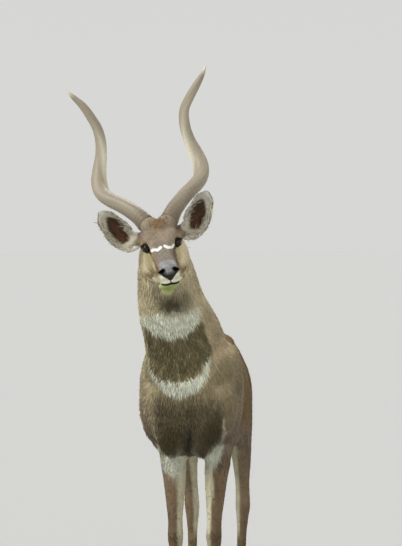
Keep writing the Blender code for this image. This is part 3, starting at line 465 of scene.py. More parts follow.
def horn_frame():
    """The horns' upright frame, with a roll of its own."""
    turn = Matrix.Rotation(HEAD_TURN, 4, "Z") @ Matrix.Rotation(HORN_ROLL, 4, "Y")
    return Matrix.Translation(EYE_MIDDLE) @ turn


def into(matrix, points):
    """Points of the animal's frame as seen from a frame placed by matrix."""
    m = np.array(matrix.inverted())
    return points @ m[:3, :3].T + m[:3, 3]


def out_of(matrix, points):
    """Points of a frame placed by matrix as the animal's frame has them."""
    m = np.array(matrix)
    return points @ m[:3, :3].T + m[:3, 3]


# Drawing forms with bmesh

def loft(work, rings, matrix=None, mirror=False):
    """Draws a closed form by extruding a first ring of points through the others."""
    rings = np.asarray(rings, float)
    if mirror:
        rings = rings * (-1, 1, 1)
    if matrix is not None:
        rings = np.array([out_of(matrix, r) for r in rings])
    started = bmesh.ops.create_circle(work, segments=rings.shape[1], radius=1)["verts"]
    for v, p in zip(started, rings[0]):
        v.co = p
    ring = list(started)
    edges = list(dict.fromkeys(e for v in ring for e in v.link_edges))
    bmesh.ops.contextual_create(work, geom=edges)
    for places in rings[1:]:
        made = bmesh.ops.extrude_edge_only(work, edges=edges)["geom"]
        edges = [g for g in made if isinstance(g, bmesh.types.BMEdge)]
        fresh = {g for g in made if isinstance(g, bmesh.types.BMVert)}
        number = {v: i for i, v in enumerate(ring)}
        ring = [None] * len(ring)
        for v in fresh:
            old = next(o for o in (e.other_vert(v) for e in v.link_edges) if o in number)
            ring[number[old]] = v
            v.co = places[number[old]]
    bmesh.ops.contextual_create(work, geom=edges)


def ball(work, centre, half, lean=0.0, matrix=None, mirror=False, fine=BALL_SIDES):
    """Draws a swelling with three half sizes, leant by some degrees."""
    turn = Matrix.Rotation(math.radians(lean), 4, "X")
    place = Matrix.Translation(centre) @ turn @ Matrix.Diagonal((*half, 1))
    if mirror:
        place = MIRROR @ place
    if matrix is not None:
        place = matrix @ place
    bmesh.ops.create_uvsphere(work, u_segments=fine, v_segments=fine * 5 // 8, radius=1, matrix=place)


def both_sides(work, forms, matrix=None):
    """Draws swellings, and those on the left side a second time on the right."""
    for centre, half, lean in forms:
        ball(work, centre, half, lean, matrix)
        if centre[0] > 0:
            ball(work, centre, half, lean, matrix, mirror=True)


def swept_rings(rows, sides=TUBE_SIDES):
    """Rings of a tube through rows of x, y, z, half width, half depth, square to the path."""
    rows = np.asarray(rows)
    path = rows[:, :3]
    ahead = unit(np.gradient(path, axis=0))
    turns = around(sides)
    across = np.array((1, 0, 0))
    rings = []
    for centre, way, (wide, deep) in zip(path, ahead, rows[:, 3:5]):
        side = unit(across - way * np.dot(across, way))
        back = np.cross(way, side)
        rings.append(centre + np.outer(np.sin(turns) * wide, side) + np.outer(np.cos(turns) * deep, back))
    return rings


def placed(name, data):
    """A new object in the scene."""
    ob = bpy.data.objects.new(name, data)
    bpy.context.scene.collection.objects.link(ob)
    return ob


def object_of(work, name):
    """Turns a bmesh into an object, its faces pointing outward."""
    bmesh.ops.recalc_face_normals(work, faces=work.faces)
    mesh = bpy.data.meshes.new(name)
    work.to_mesh(mesh)
    work.free()
    return placed(name, mesh)


def reworked(ob, change):
    """Changes an object's mesh by a function that is given its bmesh."""
    work = bmesh.new()
    work.from_mesh(ob.data)
    change(work)
    work.to_mesh(ob.data)
    work.free()


def triangulated(work):
    """Splits all faces into triangles."""
    bmesh.ops.triangulate(work, faces=work.faces)


def cut_and_closed(work, parts, point, normal):
    """Removes what lies on the normal's side of a plane and closes the cut."""
    cut = bmesh.ops.bisect_plane(work, geom=parts, dist=1e-6, plane_co=point, plane_no=normal,
                                 clear_outer=True)
    rim = [e for e in cut["geom_cut"] if isinstance(e, bmesh.types.BMEdge) and e.is_boundary]
    bmesh.ops.triangle_fill(work, edges=rim, use_beauty=True)
    bmesh.ops.recalc_face_normals(work, faces=work.faces)


def settle(ob):
    """Applies the modifiers of an object."""
    bpy.context.view_layer.update()
    graph = bpy.context.evaluated_depsgraph_get()
    mesh = bpy.data.meshes.new_from_object(ob.evaluated_get(graph))
    ob.modifiers.clear()
    old = ob.data
    ob.data = mesh
    bpy.data.meshes.remove(old)


def fuse(ob, voxel):
    """Melts overlapping forms into one skin of even faces."""
    change = ob.modifiers.new("melt", "REMESH")
    change.mode = "VOXEL"
    change.voxel_size = voxel
    settle(ob)


def thin_out(ob, triangles):
    """Keeps about so many triangles."""
    change = ob.modifiers.new("thin", "DECIMATE")
    change.ratio = min(1.0, triangles / sum(len(f.vertices) - 2 for f in ob.data.polygons))
    settle(ob)


def points_of(ob):
    """The places of an object's corners."""
    co = np.empty(len(ob.data.vertices) * 3)
    ob.data.vertices.foreach_get("co", co)
    return co.reshape(-1, 3)


def corners_of(ob):
    """The corner numbers of each triangle of an object."""
    tris = np.empty(len(ob.data.polygons) * 3, int)
    ob.data.loops.foreach_get("vertex_index", tris)
    return tris.reshape(-1, 3)


def normals_of(ob):
    """The ways that an object's corners face."""
    n = np.empty(len(ob.data.vertices) * 3)
    ob.data.vertex_normals.foreach_get("vector", n)
    return n.reshape(-1, 3)


def put_points(ob, co):
    """Moves an object's corners."""
    ob.data.vertices.foreach_set("co", np.asarray(co).ravel())
    ob.data.update()


def relax(ob, rounds, kept=0.0, share=None):
    """Evens a skin; kept near 1 holds its volume. share says how much each point may move."""
    co = points_of(ob)
    ends = np.empty(len(ob.data.edges) * 2, int)
    ob.data.edges.foreach_get("vertices", ends)
    a, b = ends.reshape(-1, 2).T
    both = np.r_[a, b]
    links = np.bincount(both, minlength=len(co))[:, None].clip(1)
    share = 1.0 if share is None else share(co)[:, None]
    pushes = (PUSH_IN, PUSH_OUT * kept) if kept else (PUSH_IN,)
    for _ in range(rounds):
        for push in pushes:
            sums = [np.bincount(both, np.r_[co[b, k], co[a, k]], len(co)) for k in range(3)]
            co = co + share * push * (np.stack(sums, 1) / links - co)
    put_points(ob, co)


def slice_off(ob, point, normal, gap=0.0):
    """Removes what lies past a plane, less a gap, and closes the cut."""
    normal = Vector(normal).normalized()

    def change(work):
        every = work.verts[:] + work.edges[:] + work.faces[:]
        cut_and_closed(work, every, Vector(point) - normal * gap, normal)
        triangulated(work)

    reworked(ob, change)


def unite(ob, other):
    """Joins two closed skins into one and removes the second."""
    change = ob.modifiers.new("join", "BOOLEAN")
    change.operation = "UNION"
    change.object = other
    change.solver = "MANIFOLD"
    settle(ob)
    bpy.data.objects.remove(other)


def refine(ob, near, times):
    """Splits the edges that near() picks, so that small folds have points to stand on."""
    def change(work):
        for _ in range(times):
            middles = np.array([(e.verts[0].co + e.verts[1].co) / 2 for e in work.edges])
            picked = [e for e, inside in zip(work.edges, near(middles)) if inside]
            bmesh.ops.subdivide_edges(work, edges=picked, cuts=1, use_grid_fill=True)
        bmesh.ops.triangulate(work, faces=[f for f in work.faces if len(f.verts) > 4])

    reworked(ob, change)


# The animal's forms

def torso_rings():
    """Rings of the body, round below and pointed toward the back."""
    rings = []
    turns = around(TORSO_SIDES)
    s, c = np.sin(turns), np.cos(turns)
    for y, top, low, mid, half, square in through(TORSO, TORSO_RINGS):
        x = half * np.sign(s) * np.abs(s) ** np.where(c > 0, 1 / square + 0.5, FLANK_POWER)
        above = mid + (top - mid) * np.abs(c) ** np.where(c > 0, 2 / square, 1.0)
        below = mid - (mid - low) * np.abs(c) ** BELLY_POWER
        rings.append(np.c_[x, 0 * x + y, np.where(c > 0, above, below)])
    return rings


def stepped(rows, z, step):
    """How far a step has moved a leg at a height."""
    top = rows[STEP_ROW][0]
    return step * min(1.0, max(0.0, (top - z) / top)) ** STEP_EASE


def draw_leg(work, name):
    """Draws one leg at its step, with its swellings and dew claws."""
    step, inset, mirror = STEPS[name], INSETS[name], name.endswith("right")
    kind = name.split("_")[0]
    rows = FORELEG if kind == "foreleg" else HINDLEG
    turns = around(LEG_SIDES)
    rings = []
    for z, y, x, wide, deep in through(rows, LEG_RINGS):
        at = y + stepped(rows, z, step)
        rings.append(np.c_[x - inset + wide * np.sin(turns), at + deep * np.cos(turns), z + 0 * turns])
    loft(work, rings, mirror=mirror)
    for centre, half, lean, on in LEG_FORMS:
        if on == kind:
            at = (centre[0] - inset, centre[1] + stepped(rows, centre[2], step), centre[2])
            ball(work, at, half, lean, mirror=mirror, fine=LEG_BALL_SIDES)
    _, fetlock_y, fetlock_x, *_ = rows[FETLOCK_ROW]
    dew_y = fetlock_y + stepped(rows, DEW_HEIGHT, step) + DEW_BACK
    for out in (-DEW_OUT, DEW_OUT):
        at = (fetlock_x - inset + out, dew_y, DEW_HEIGHT)
        ball(work, at, DEW_CLAW, DEW_LEAN, mirror=mirror, fine=DEW_SIDES)


def skull_rings():
    """Rings of the skull and muzzle, narrower below than above."""
    rings = []
    turns = around(SKULL_SIDES)
    s, c = np.sin(turns), np.cos(turns)
    for y, top, low, above, below in through(HEAD, SKULL_RINGS):
        half = np.where(c > 0, above, above + (below - above) * np.abs(c) ** JAW_POWER)
        x = half * np.sign(s) * np.abs(s) ** SKULL_POWER
        tall = (top - low) / 2
        z = (top + low) / 2 + tall * np.sign(c) * np.abs(c) ** SKULL_POWER
        z = z + CHEEK_RISE * tall * (1 - np.abs(c))
        rings.append(np.c_[x, 0 * x + y, z])
    return rings


def draw_footing(work, frame, line, count, half, depth):
    """The swellings that carry the ears or the horns, sunk in the head along their way."""
    rows = through(line, count)[:, :3]
    foot, way = Vector(rows[0]), Vector(rows[1] - rows[0]).normalized()
    turn = Matrix.Translation(foot) @ way.to_track_quat("Z", "Y").to_matrix().to_4x4()
    for place in (turn, MIRROR @ turn):
        ball(work, (0, 0, -depth), half, 0, frame @ place)


def draw_head(work):
    """Draws the skull, its swellings, the chin and what carries ears and horns."""
    loft(work, skull_rings(), head_frame())
    both_sides(work, HEAD_FORMS, head_frame())
    for centre, half in CHIN_FORMS:
        ball(work, centre, half, 0, head_frame())
    draw_footing(work, face_frame(), EAR_LINE, EAR_RINGS, *EAR_STALK)
    draw_footing(work, horn_frame(), HORN, HORN_RINGS, *HORN_CORE)


def ear_rings():
    """The animal's left ear: a cup open to the front with soft folds inside, closing to a round stalk."""
    line, rows = through(EAR_LINE, EAR_ROWS), through(EAR, EAR_ROWS)
    ahead = unit(np.gradient(line, axis=0))
    angles = np.linspace(-math.pi / 2, math.pi / 2, EAR_ARC)
    rings = []
    for i, (centre, way, (wide, deep, opening)) in enumerate(zip(line, ahead, rows)):
        t = i / (EAR_ROWS - 1)
        back = np.array(EAR_BACK_WAY)
        back = unit(back - way * np.dot(back, way))
        side = np.cross(way, back)
        thick = min(EAR_THICKNESS * (1 - EAR_TIP_THINNING * t), 0.45 * wide)
        wide = wide * (1 + EAR_WAVE * math.sin(EAR_WAVES * t))
        fold = EAR_FOLD * math.sin(math.pi * min(1, t * 1.1)) * max(0.0, opening)
        outer = np.outer(np.sin(angles) * wide, side) + np.outer(np.cos(angles) * deep, back)
        cup = opening * (deep - thick) - fold * np.sin(angles * EAR_FOLDS) * np.cos(angles)
        width = wide - 0.35 * thick
        inner = np.outer(np.sin(angles) * width, side) + np.outer(np.cos(angles) * cup, back)
        rings.append(np.r_[centre + outer, (centre + inner)[::-1][1:-1]])
    rings[0] = line[0] - ahead[0] * EAR_ROOT_SINK + (rings[0] - line[0]) * EAR_ROOT_SIZE
    return rings


def eye_axes(side):
    """An eyeball's centre, its way out, its way to the side and its way up, in the head's frame."""
    way = unit(np.array((side * math.sin(EYE_AIM), -math.cos(EYE_AIM), EYE_LIFT)))
    along = unit(np.array((side * math.cos(EYE_AIM), math.sin(EYE_AIM), EYE_SLANT)))
    along = unit(along - way * np.dot(along, way))
    up = np.cross(way, along) * side
    return np.array((side * EYE_OUT, EYE_BACK, EYE_UP)), way, along, up * (1 if up[2] > 0 else -1)


def eye_shares(points, side):
    """Each point's share of the opening's radius, its place across and up, and its depth outward."""
    centre, way, along, up = eye_axes(side)
    d = points - centre
    x, y, deep = d @ along, d @ up, d @ way
    tall = np.where(y > 0, OPEN_ABOVE, OPEN_BELOW) * np.sqrt(1 - 0.5 * np.clip((x / OPEN_HALF) ** 2, 0, 1))
    return np.sqrt((x / OPEN_HALF) ** 2 + (y / tall) ** 2), x, y, deep


def shape_eyes(points):
    """Lays the lids over the eyeballs, with folds round them, and sinks the skin behind the opening."""
    for side in (1, -1):
        way = eye_axes(side)[1]
        share, x, y, deep = eye_shares(points, side)
        ball_top = np.sqrt(np.maximum(EYE_RADIUS ** 2 - x ** 2 - y ** 2, (0.35 * EYE_RADIUS) ** 2))
        lid_top = ball_top + LID_THICKNESS + LID_RIM[2] * hump(share, *LID_RIM[:2])
        hold = 1 - soft(1.15, 2.2, share)
        new = deep * (1 - hold) + lid_top * hold
        new -= UPPER_FOLD[2] * hump(share, *UPPER_FOLD[:2]) * soft(0, FOLD_FADE, y)
        new -= LOWER_FOLD[2] * hump(share, *LOWER_FOLD[:2]) * soft(0, -FOLD_FADE, y)
        sink = 1 - soft(0.90, 1.0, share)
        new = new * (1 - sink) + (ball_top - SOCKET_SINK) * sink
        on = ((deep > -SOCKET_SINK) & (share < 2.3))[:, None]
        points = points + on * np.outer(new - deep, way)
    return points


def mouth_height(angle):
    """Height of the mouth's line at an angle round the muzzle."""
    crest = MOUTH_CREST * np.cos(3 * angle) * np.exp(-np.abs(angle) * 2)
    return MOUTH_HEIGHT + crest + MOUTH_RISE * np.abs(angle)


def mouth_places(points):
    """Each point's height over the mouth's line, how much it is on the muzzle, and its angle round it."""
    x, y, z = points.T
    angle = np.arctan2(x, -(y - MOUTH_MIDDLE_Y))
    there = soft(1.95, 1.70, np.abs(angle)) * soft(-0.125, -0.15, y)
    return z - mouth_height(np.clip(angle, -1.8, 1.8)), there, angle


def nostril_share(points, side):
    """How far out each point lies on a nostril: below 1 is inside the hole."""
    x, y, z = NOSTRIL
    turn = NOSTRIL_TURN * side
    d = points - (side * x, y, z)
    across = d[:, 0] * math.cos(turn) - d[:, 2] * math.sin(turn)
    rise = d[:, 0] * math.sin(turn) + d[:, 2] * math.cos(turn)
    across = across * side
    rise = rise - NOSTRIL_CURVE * across ** 2 * (across > 0)
    tall = NOSTRIL_HALF[1] - NOSTRIL_NARROWING * np.clip(across, -0.01, 0.02)
    share = np.sqrt((across / NOSTRIL_HALF[0]) ** 2 + (rise / tall) ** 2)
    return np.where((y - 0.02 < points[:, 1]) & (points[:, 1] < y + 0.035), share, FAR_OFF)


def shape_muzzle(points):
    """Sinks the nostrils and the line of the mouth, and fills the lips and the nostrils' wings."""
    x, y, _ = points.T
    above, there, angle = mouth_places(points)
    out = np.c_[np.sin(angle), -np.cos(angle), 0 * angle]
    front = soft(-0.12, -0.16, y)
    push = sum(far * hump(above, at, half) * there for at, half, far in LIP_FOLDS)
    split = hump(x, 0.0, LIP_SPLIT[0]) * soft(0.0, 0.004, above) * soft(0.050, 0.040, above) * front
    push = push - LIP_SPLIT[1] * split
    points = points + out * push[:, None]
    for side in (1, -1):
        share = nostril_share(points, side)
        inward = unit(np.array(NOSTRIL_INWARD) * (-side, 1, 1))
        wing = NOSTRIL_WING[2] * hump(share, *NOSTRIL_WING[:2])
        deep = NOSTRIL_DEPTH * (1 - soft(0.55, 1.05, share)) - wing
        points = points + np.outer(deep, inward)
    return points


def near_eyes(places):
    """Which places lie on or close round the lids."""
    h = into(head_frame(), places)
    shares = [eye_shares(h, side) for side in (1, -1)]
    return np.any([(s[0] < 2.0) & (s[3] > -0.008) for s in shares], axis=0)


def near_muzzle(places):
    """Which places lie on the nose and the upper lip."""
    h = into(head_frame(), places)
    return (h[:, 1] < -0.165) & (h[:, 2] > -0.125)


def over_plane(points, cut):
    """Signed distance past a cut, on the side its way points to."""
    way = unit(np.array(cut[1]))
    return (points - np.array(cut[0])) @ way


def build_skin():
    """The whole animal's skin as one closed surface."""
    work = bmesh.new()
    loft(work, torso_rings())
    loft(work, swept_rings(through(NECK, NECK_RINGS)))
    both_sides(work, BODY_FORMS)
    draw_head(work)
    tail = [(0, *row) for row in through(TAIL, TAIL_RINGS)]
    loft(work, swept_rings(tail, TAIL_SIDES))
    for name in STEPS:
        draw_leg(work, name)
    skin = object_of(work, "nyala_skin")
    fuse(skin, SKIN_VOXEL)
    relax(skin, LEG_ROUNDS)

    def off_legs_and_tail(p):
        return soft(LEG_TOP, LEG_TOP + 0.06, p[:, 2]) * soft(TAIL_CUT_Y + 0.03, TAIL_CUT_Y, p[:, 1])

    relax(skin, BODY_ROUNDS, 0.0, off_legs_and_tail)
    relax(skin, BODY_FIRM_ROUNDS, 1.0)
    for name in STEPS:
        x, y = foot_place(name)
        trim_foot(skin, x, y)
    thin_out(skin, BODY_TRIANGLES)
    slice_off(skin, *NECK_TOP_CUT)

    work = bmesh.new()
    draw_head(work)
    loft(work, swept_rings(through(NECK[3:], NECK_RINGS // 2)))
    head = object_of(work, "head_skin")
    fuse(head, HEAD_SKIN_VOXEL)
    relax(head, HEAD_ROUNDS)
    relax(head, HEAD_FIRM_ROUNDS, 1.0)
    cut = NECK_TOP_CUT
    slice_off(head, cut[0], [-v for v in cut[1]], -JOIN_LAP)
    refine(head, near_eyes, 2)
    refine(head, near_muzzle, 1)
    inner = into(head_frame(), points_of(head))
    inner = shape_muzzle(shape_eyes(inner))
    put_points(head, out_of(head_frame(), inner))
    for mirror in (False, True):
        work = bmesh.new()
        loft(work, ear_rings(), face_frame(), mirror)
        triangulated(work)
        unite(head, object_of(work, "ear_skin"))
    roots = out_of(face_frame(), np.array(EAR_LINE[0]) * ((1, 1, 1), (-1, 1, 1)))

    def near_roots(p):
        return np.max([soft(0.055, 0.035, np.linalg.norm(p - r, axis=1)) for r in roots], axis=0)

    relax(head, EAR_ROOT_ROUNDS, 1.0, near_roots)
    unite(skin, head)

    def near_join(p):
        return soft(0.045, 0.02, np.abs(over_plane(p, cut))) * soft(-0.7, -0.5, p[:, 1])

    relax(skin, JOIN_ROUNDS, 0.6, near_join)
    return skin


def foot_place(name):
    """The middle of a foot on the ground."""
    rows = FORELEG if name.startswith("fore") else HINDLEG
    side = 1 if name.endswith("left") else -1
    z, y, x = rows[FOOT_ROW][:3]
    return side * (x - INSETS[name]), y + stepped(rows, z, STEPS[name])


def trim_foot(ob, x, y):
    """Removes the flesh below one foot's slanting coronet and closes the cut."""
    normal = Vector((0, -CORONET_SLOPE, -1)).normalized()

    def change(work):
        low = [v for v in work.verts if v.co.z < FOOT_TOP]
        near = [v for v in low if max(abs(v.co.x - x), abs(v.co.y - y)) < FOOT_REACH]
        picked = set(near)
        faces = [f for f in work.faces if all(v in picked for v in f.verts)]
        edges = list(dict.fromkeys(e for f in faces for e in f.edges))
        cut_and_closed(work, near + edges + faces, (x, y, CORONET_HEIGHT), normal)

    reworked(ob, change)


# The coat's markings

RIGHT = np.array((math.cos(VIEW_TURN), math.sin(VIEW_TURN), 0.0))
TAUPE = linear(138, 122, 102)
SHOULDER = linear(166, 153, 120)
OLIVE = linear(106, 98, 68)
OLIVE_PALE = linear(148, 138, 104)
# Colour of the painted shadow under the jaw
UNDER_JAW_SHADOW = linear(48, 47, 28)
NECK_BUFF = linear(212, 199, 164)
NECK_SIDE = linear(192, 174, 142)
RUFOUS = linear(124, 98, 56)
WHITE = linear(226, 228, 208)
CREAM = linear(212, 206, 176)
DARK = linear(50, 40, 32)
BLACK = linear(14, 13, 14)
# The chest's dark coat, made darker still with painted shade
CHEST_WITH_SHADE = linear(90, 82, 61)
BRISKET = linear(76, 69, 44)
EAR_RED = linear(52, 28, 8)
EAR_RUST = linear(98, 56, 30)
EAR_HAIR = linear(200, 194, 174)
EAR_RIM = linear(230, 229, 218)
EAR_BACK = linear(134, 122, 104)
FOREHEAD = linear(151, 137, 118)
FORELOCK = linear(142, 110, 68)
CHEEK = linear(176, 164, 122)
BRIDGE = linear(130, 122, 110)
BRIDGE_SIDE = linear(136, 112, 94)
NOSE_SHINE_HIGHLIGHT = linear(144, 143, 144)
NOSE = linear(42, 41, 40)
FACE_LINE = linear(100, 74, 58)
JAW = linear(124, 103, 72)
LIP = linear(238, 239, 222)
MOUTH_LINE = linear(48, 49, 32)
# The chin's white hair with painted shade and a painted green reflection from plants below; darker still in
# its middle
WHITE_CHIN_WITH_SHADE_AND_REFLECTION = linear(172, 180, 122)
CHIN_MIDDLE_SHADE_AND_REFLECTION = linear(140, 150, 66)
BROW = linear(178, 152, 104)
LEG_BROWN = linear(118, 98, 74)
SHANK = linear(102, 84, 62)
SPARK = linear(255, 253, 244)
TAIL_BROWN = linear(96, 72, 50)
CREST_BROWN = linear(72, 54, 38)
CREST_PALE = linear(190, 176, 150)
FRINGE_PALE = linear(226, 220, 200)
LASH = linear(40, 34, 30)
HORN_BASE = linear(128, 114, 94)
HORN_MIDDLE = linear(160, 149, 129)
# Painted highlight along the horns' keels
HORN_KEEL_HIGHLIGHT = linear(236, 231, 204)
HORN_TIP = linear(228, 220, 198)
IRIS = linear(46, 29, 18)
IRIS_RIM = linear(24, 16, 12)
EYE_WHITE = linear(70, 58, 50)
PUPIL = linear(6, 5, 6)
HOOF_DARK = linear(30, 27, 25)
HOOF_PALE = linear(78, 70, 60)
FLOOR_GREY = (0.47, 0.47, 0.46, 1)
FLOOR_RADIUS = 120

# Curves of the white marks and the dark panel: across the view, height
BIB_TOP = (
    (-0.220, 1.354), (-0.193, 1.358), (-0.153, 1.370), (-0.100, 1.362), (-0.059, 1.367),
    (-0.022, 1.378), (0.010, 1.390), (0.036, 1.400),
)
BIB_LOW = (
    (-0.220, 1.344), (-0.197, 1.313), (-0.160, 1.280), (-0.118, 1.266), (-0.084, 1.260),
    (-0.040, 1.270), (-0.006, 1.295), (0.018, 1.326), (0.032, 1.370), (0.036, 1.394),
)
MOON_TOP = (
    (-0.187, 1.187), (-0.178, 1.152), (-0.170, 1.123), (-0.143, 1.088), (-0.101, 1.071),
    (-0.059, 1.068), (-0.010, 1.081), (0.038, 1.118), (0.056, 1.154), (0.074, 1.200),
)
MOON_LOW = (
    (-0.187, 1.183), (-0.178, 1.136), (-0.167, 1.103), (-0.137, 1.054), (-0.101, 1.027),
    (-0.053, 1.010), (-0.010, 1.026), (0.032, 1.052), (0.056, 1.086), (0.068, 1.116),
    (0.077, 1.180),
)
PANEL_TOP = (
    (-0.202, 1.325), (-0.176, 1.312), (-0.092, 1.295), (0.018, 1.332), (0.042, 1.316),
    (0.062, 1.262), (0.076, 1.214),
)
PANEL_LOW = (
    (-0.202, 1.290), (-0.181, 1.171), (-0.170, 1.123), (-0.101, 1.070), (-0.010, 1.080),
    (0.056, 1.155), (0.076, 1.196),
)
# Lines on the face: across, up from between the eyes
CHEVRON = (((-0.0440, -0.0125), (-0.0365, -0.0085), (-0.0188, -0.0128), (-0.0046, -0.0040)),
           ((0.0122, -0.0010), (0.0249, -0.0105), (0.0462, -0.0122), (0.0492, -0.0060)))
FACE_LINES = (((-0.0522, -0.0181), (-0.0415, -0.0635), (-0.0333, -0.0985)),
              ((0.0457, -0.0318), (0.0492, -0.0671), (0.0521, -0.0885)))
LIP_STREAKS = (((-0.0600, -0.1290), (-0.0480, -0.1470)), ((0.0570, -0.1440), (0.0530, -0.1580)))
EYE_CORNERS = (((-0.066, -0.006), (-0.053, -0.020)), ((0.060, -0.006), (0.050, -0.020)))
# Soft spots: where they are, and their half sizes
CHEST_LOBES = (((-0.088, 0.829), (0.060, 0.062)), ((0.088, 0.858), (0.044, 0.060)))
# Painted shade in the chest's hollow
CHEST_HOLLOW_SHADE = ((0.016, 0.985), (0.045, 0.060))
# Painted shadow on the throat under the jaw, and beside the mouth's corners
UNDER_JAW_SHADOW_PATCH = ((-0.089, 1.406), (0.068, 0.046))
MOUTH_CORNER_SHADOWS = (((-0.152, 1.462), (0.018, 0.024)), ((-0.030, 1.440), (0.018, 0.024)))
# The same for a foreleg's patches, and how much each one climbs across the view
LEG_PATCHES = (((-0.082, 0.706), (0.058, 0.058), -0.30), ((0.089, 0.747), (0.044, 0.054), 0.90))
# The same on the face, seen from in front
# Painted shade in the nooks where the ears meet the head
EAR_ROOT_SHADES = (((-0.086, 0.058), (0.016, 0.024)), ((0.084, 0.066), (0.018, 0.024)))
FORELOCK_PATCH = ((0.002, 0.093), (0.036, 0.028))
FORELOCK_TUFTS = ((0.006, 0.092), (0.040, 0.026))
BROW_PATCH = ((0.080, 0.031), (0.018, 0.013))
BRIDGE_SMUDGE = ((-0.0175, 0.010), (0.024, 0.009))
LIP_LOBE = ((0.031, -0.051), (0.011, 0.008))
# Where the chin's painted shade and green reflection are deepest
CHIN_SHADE_AND_REFLECTION_SPOT = ((-0.012, -0.108), (0.020, 0.018))
# Pale lines on the chest's rims and a foreleg: across the view, height
PALE_RIMS = (
    ((-0.165, 0.900), (-0.154, 0.819), (-0.141, 0.740)),
    ((0.133, 0.920), (0.139, 0.861), (0.130, 0.790)),
)
FORELEG_STRIPE = ((0.080, 0.690), (0.078, 0.620), (0.074, 0.557), (0.061, 0.421))
# Side stripes: how far back each one is at STRIPE_HEIGHT
SIDE_STRIPES = (0.22, 0.40, 0.57, 0.73)
STRIPE_HEIGHT = 1.1
STRIPE_LEAN = 0.10
STRIPE_HALF = 0.009
# Dots of the haunch, and spots of the cheek in the head's frame: y, z
HAUNCH_DOTS = (
    (0.80, 1.06), (0.87, 1.00), (0.93, 1.07), (0.98, 0.98), (0.86, 0.92),
    (0.95, 0.90), (0.72, 0.95),
)
CHEEK_SPOTS = ((-0.018, -0.078), (0.022, -0.092))
# Outlines of the nose pad and of its shine, a painted highlight: height, half width
PAD_EDGE = ((-0.070, 0.004), (-0.060, 0.015), (-0.046, 0.029), (-0.034, 0.044), (-0.008, 0.034))
SHINE_EDGE = ((-0.050, 0.010), (-0.030, 0.022), (-0.018, 0.040))
# Uneven fields: waves a metre, and a seed of its own for each
BLOTCHES = (3.0, 1)
PATCHES = (14.0, 2)
STREAKS = (60.0, 3)
STRANDS = (110.0, 4)
COMBED = (150.0, 5)
MOTTLES = (95.0, 7)
SPECKS = (260.0, 8)
EAR_HAIRS = (34.0, 9)
COAT_EDGE = 0.003              # how far the edges of the markings waver
FACE_EDGE = 0.0022


def near_line(u, v, line):
    """Distance of each point from a bent line."""
    best = np.full(len(u), FAR_OFF)
    for (a, b), (c, d) in zip(line, line[1:]):
        along = np.clip(((u - a) * (c - a) + (v - b) * (d - b)) / ((c - a) ** 2 + (d - b) ** 2), 0, 1)
        best = np.minimum(best, np.hypot(u - a - along * (c - a), v - b - along * (d - b)))
    return best


def between(x, z, top, low, edge, top_edge=None):
    """1 inside the mark that two curves bound, with a soft edge."""
    above = edge if top_edge is None else top_edge
    high = np.interp(x, *np.array(top).T)
    deep = np.interp(x, *np.array(low).T)
    ends = soft(top[0][0] - 0.004, top[0][0] + 0.010, x) * soft(top[-1][0] + 0.004, top[-1][0] - 0.010, x)
    return soft(-above, above, high - z) * soft(-edge, edge, z - deep) * ends


def mixed(base, colour, share):
    """Colours moved toward another by a share for each point."""
    return base + (colour - base) * np.asarray(share)[:, None]


def plain(colour, points):
    """One colour for each point."""
    return np.tile(colour, (len(points), 1))


def ear_places(face):
    """Each point's share of the way to an ear's tip, its share across, and how much it is on an ear."""
    own = face * mirrored(face)
    line, rows = through(EAR_LINE, EAR_ROWS), through(EAR, EAR_ROWS)
    ahead = unit(np.gradient(line, axis=0))
    way = unit(line[-1] - line[0])
    t = np.clip((own - line[0]) @ way / ((line[-1] - line[0]) @ way), 0, 1)
    i = np.rint(t * (EAR_ROWS - 1)).astype(int)
    back = np.array(EAR_BACK_WAY) - ahead[i] * (ahead[i] @ EAR_BACK_WAY)[:, None]
    across = np.cross(ahead[i], unit(back))
    share = np.einsum("ij,ij->i", own - line[i], across) / rows[i, 0]
    on = soft(0.086, 0.097, own[:, 0]) * soft(-0.005, 0.015, own[:, 2])
    return t, share, on


def mirrored(points):
    """For each point the factors that bring it to the left side."""
    factors = np.ones((len(points), 3))
    factors[:, 0] = np.sign(points[:, 0])
    return factors


def coat_colours(p, n):
    """The colour at each point of the skin, and how bare it is."""
    view, z = p @ RIGHT, p[:, 2]
    on_neck = soft(-0.06, 0.05, over_plane(p, NECK_BASE_CUT))
    on_head = soft(-0.012, 0.004, over_plane(p, NECK_TOP_CUT))
    rough = ripple(p, *BLOTCHES)
    fine = ripple(p, *PATCHES)
    streak = ripple(p * (1, 1, 0.25), *STREAKS)
    edge_x = view + COAT_EDGE * fine
    edge_z = z + COAT_EDGE * fine + COAT_EDGE * streak
    colour = body_colours(p, n, view, on_neck, rough, fine, edge_x, edge_z)
    colour = neck_colours(colour, p, n, view, on_neck, on_head, fine, edge_x, edge_z)
    colour = leg_colours(colour, p, n, view, fine, edge_x, edge_z)
    tail = soft(TAIL_CUT_Y - 0.01, TAIL_CUT_Y + 0.01, p[:, 1])
    colour = mixed(colour, TAIL_BROWN, 0.8 * tail)
    colour = mixed(colour, WHITE * 0.9, 0.85 * tail * soft(0.1, -0.5, n[:, 1]))
    face_colour, bare = face_colours(p, n, streak)
    colour = mixed(colour, face_colour, on_head)
    uneven = 1 + 0.10 * rough + 0.07 * fine + 0.05 * streak
    colour = colour * uneven[:, None]
    return np.clip(colour, 0.002, 0.95), bare * on_head


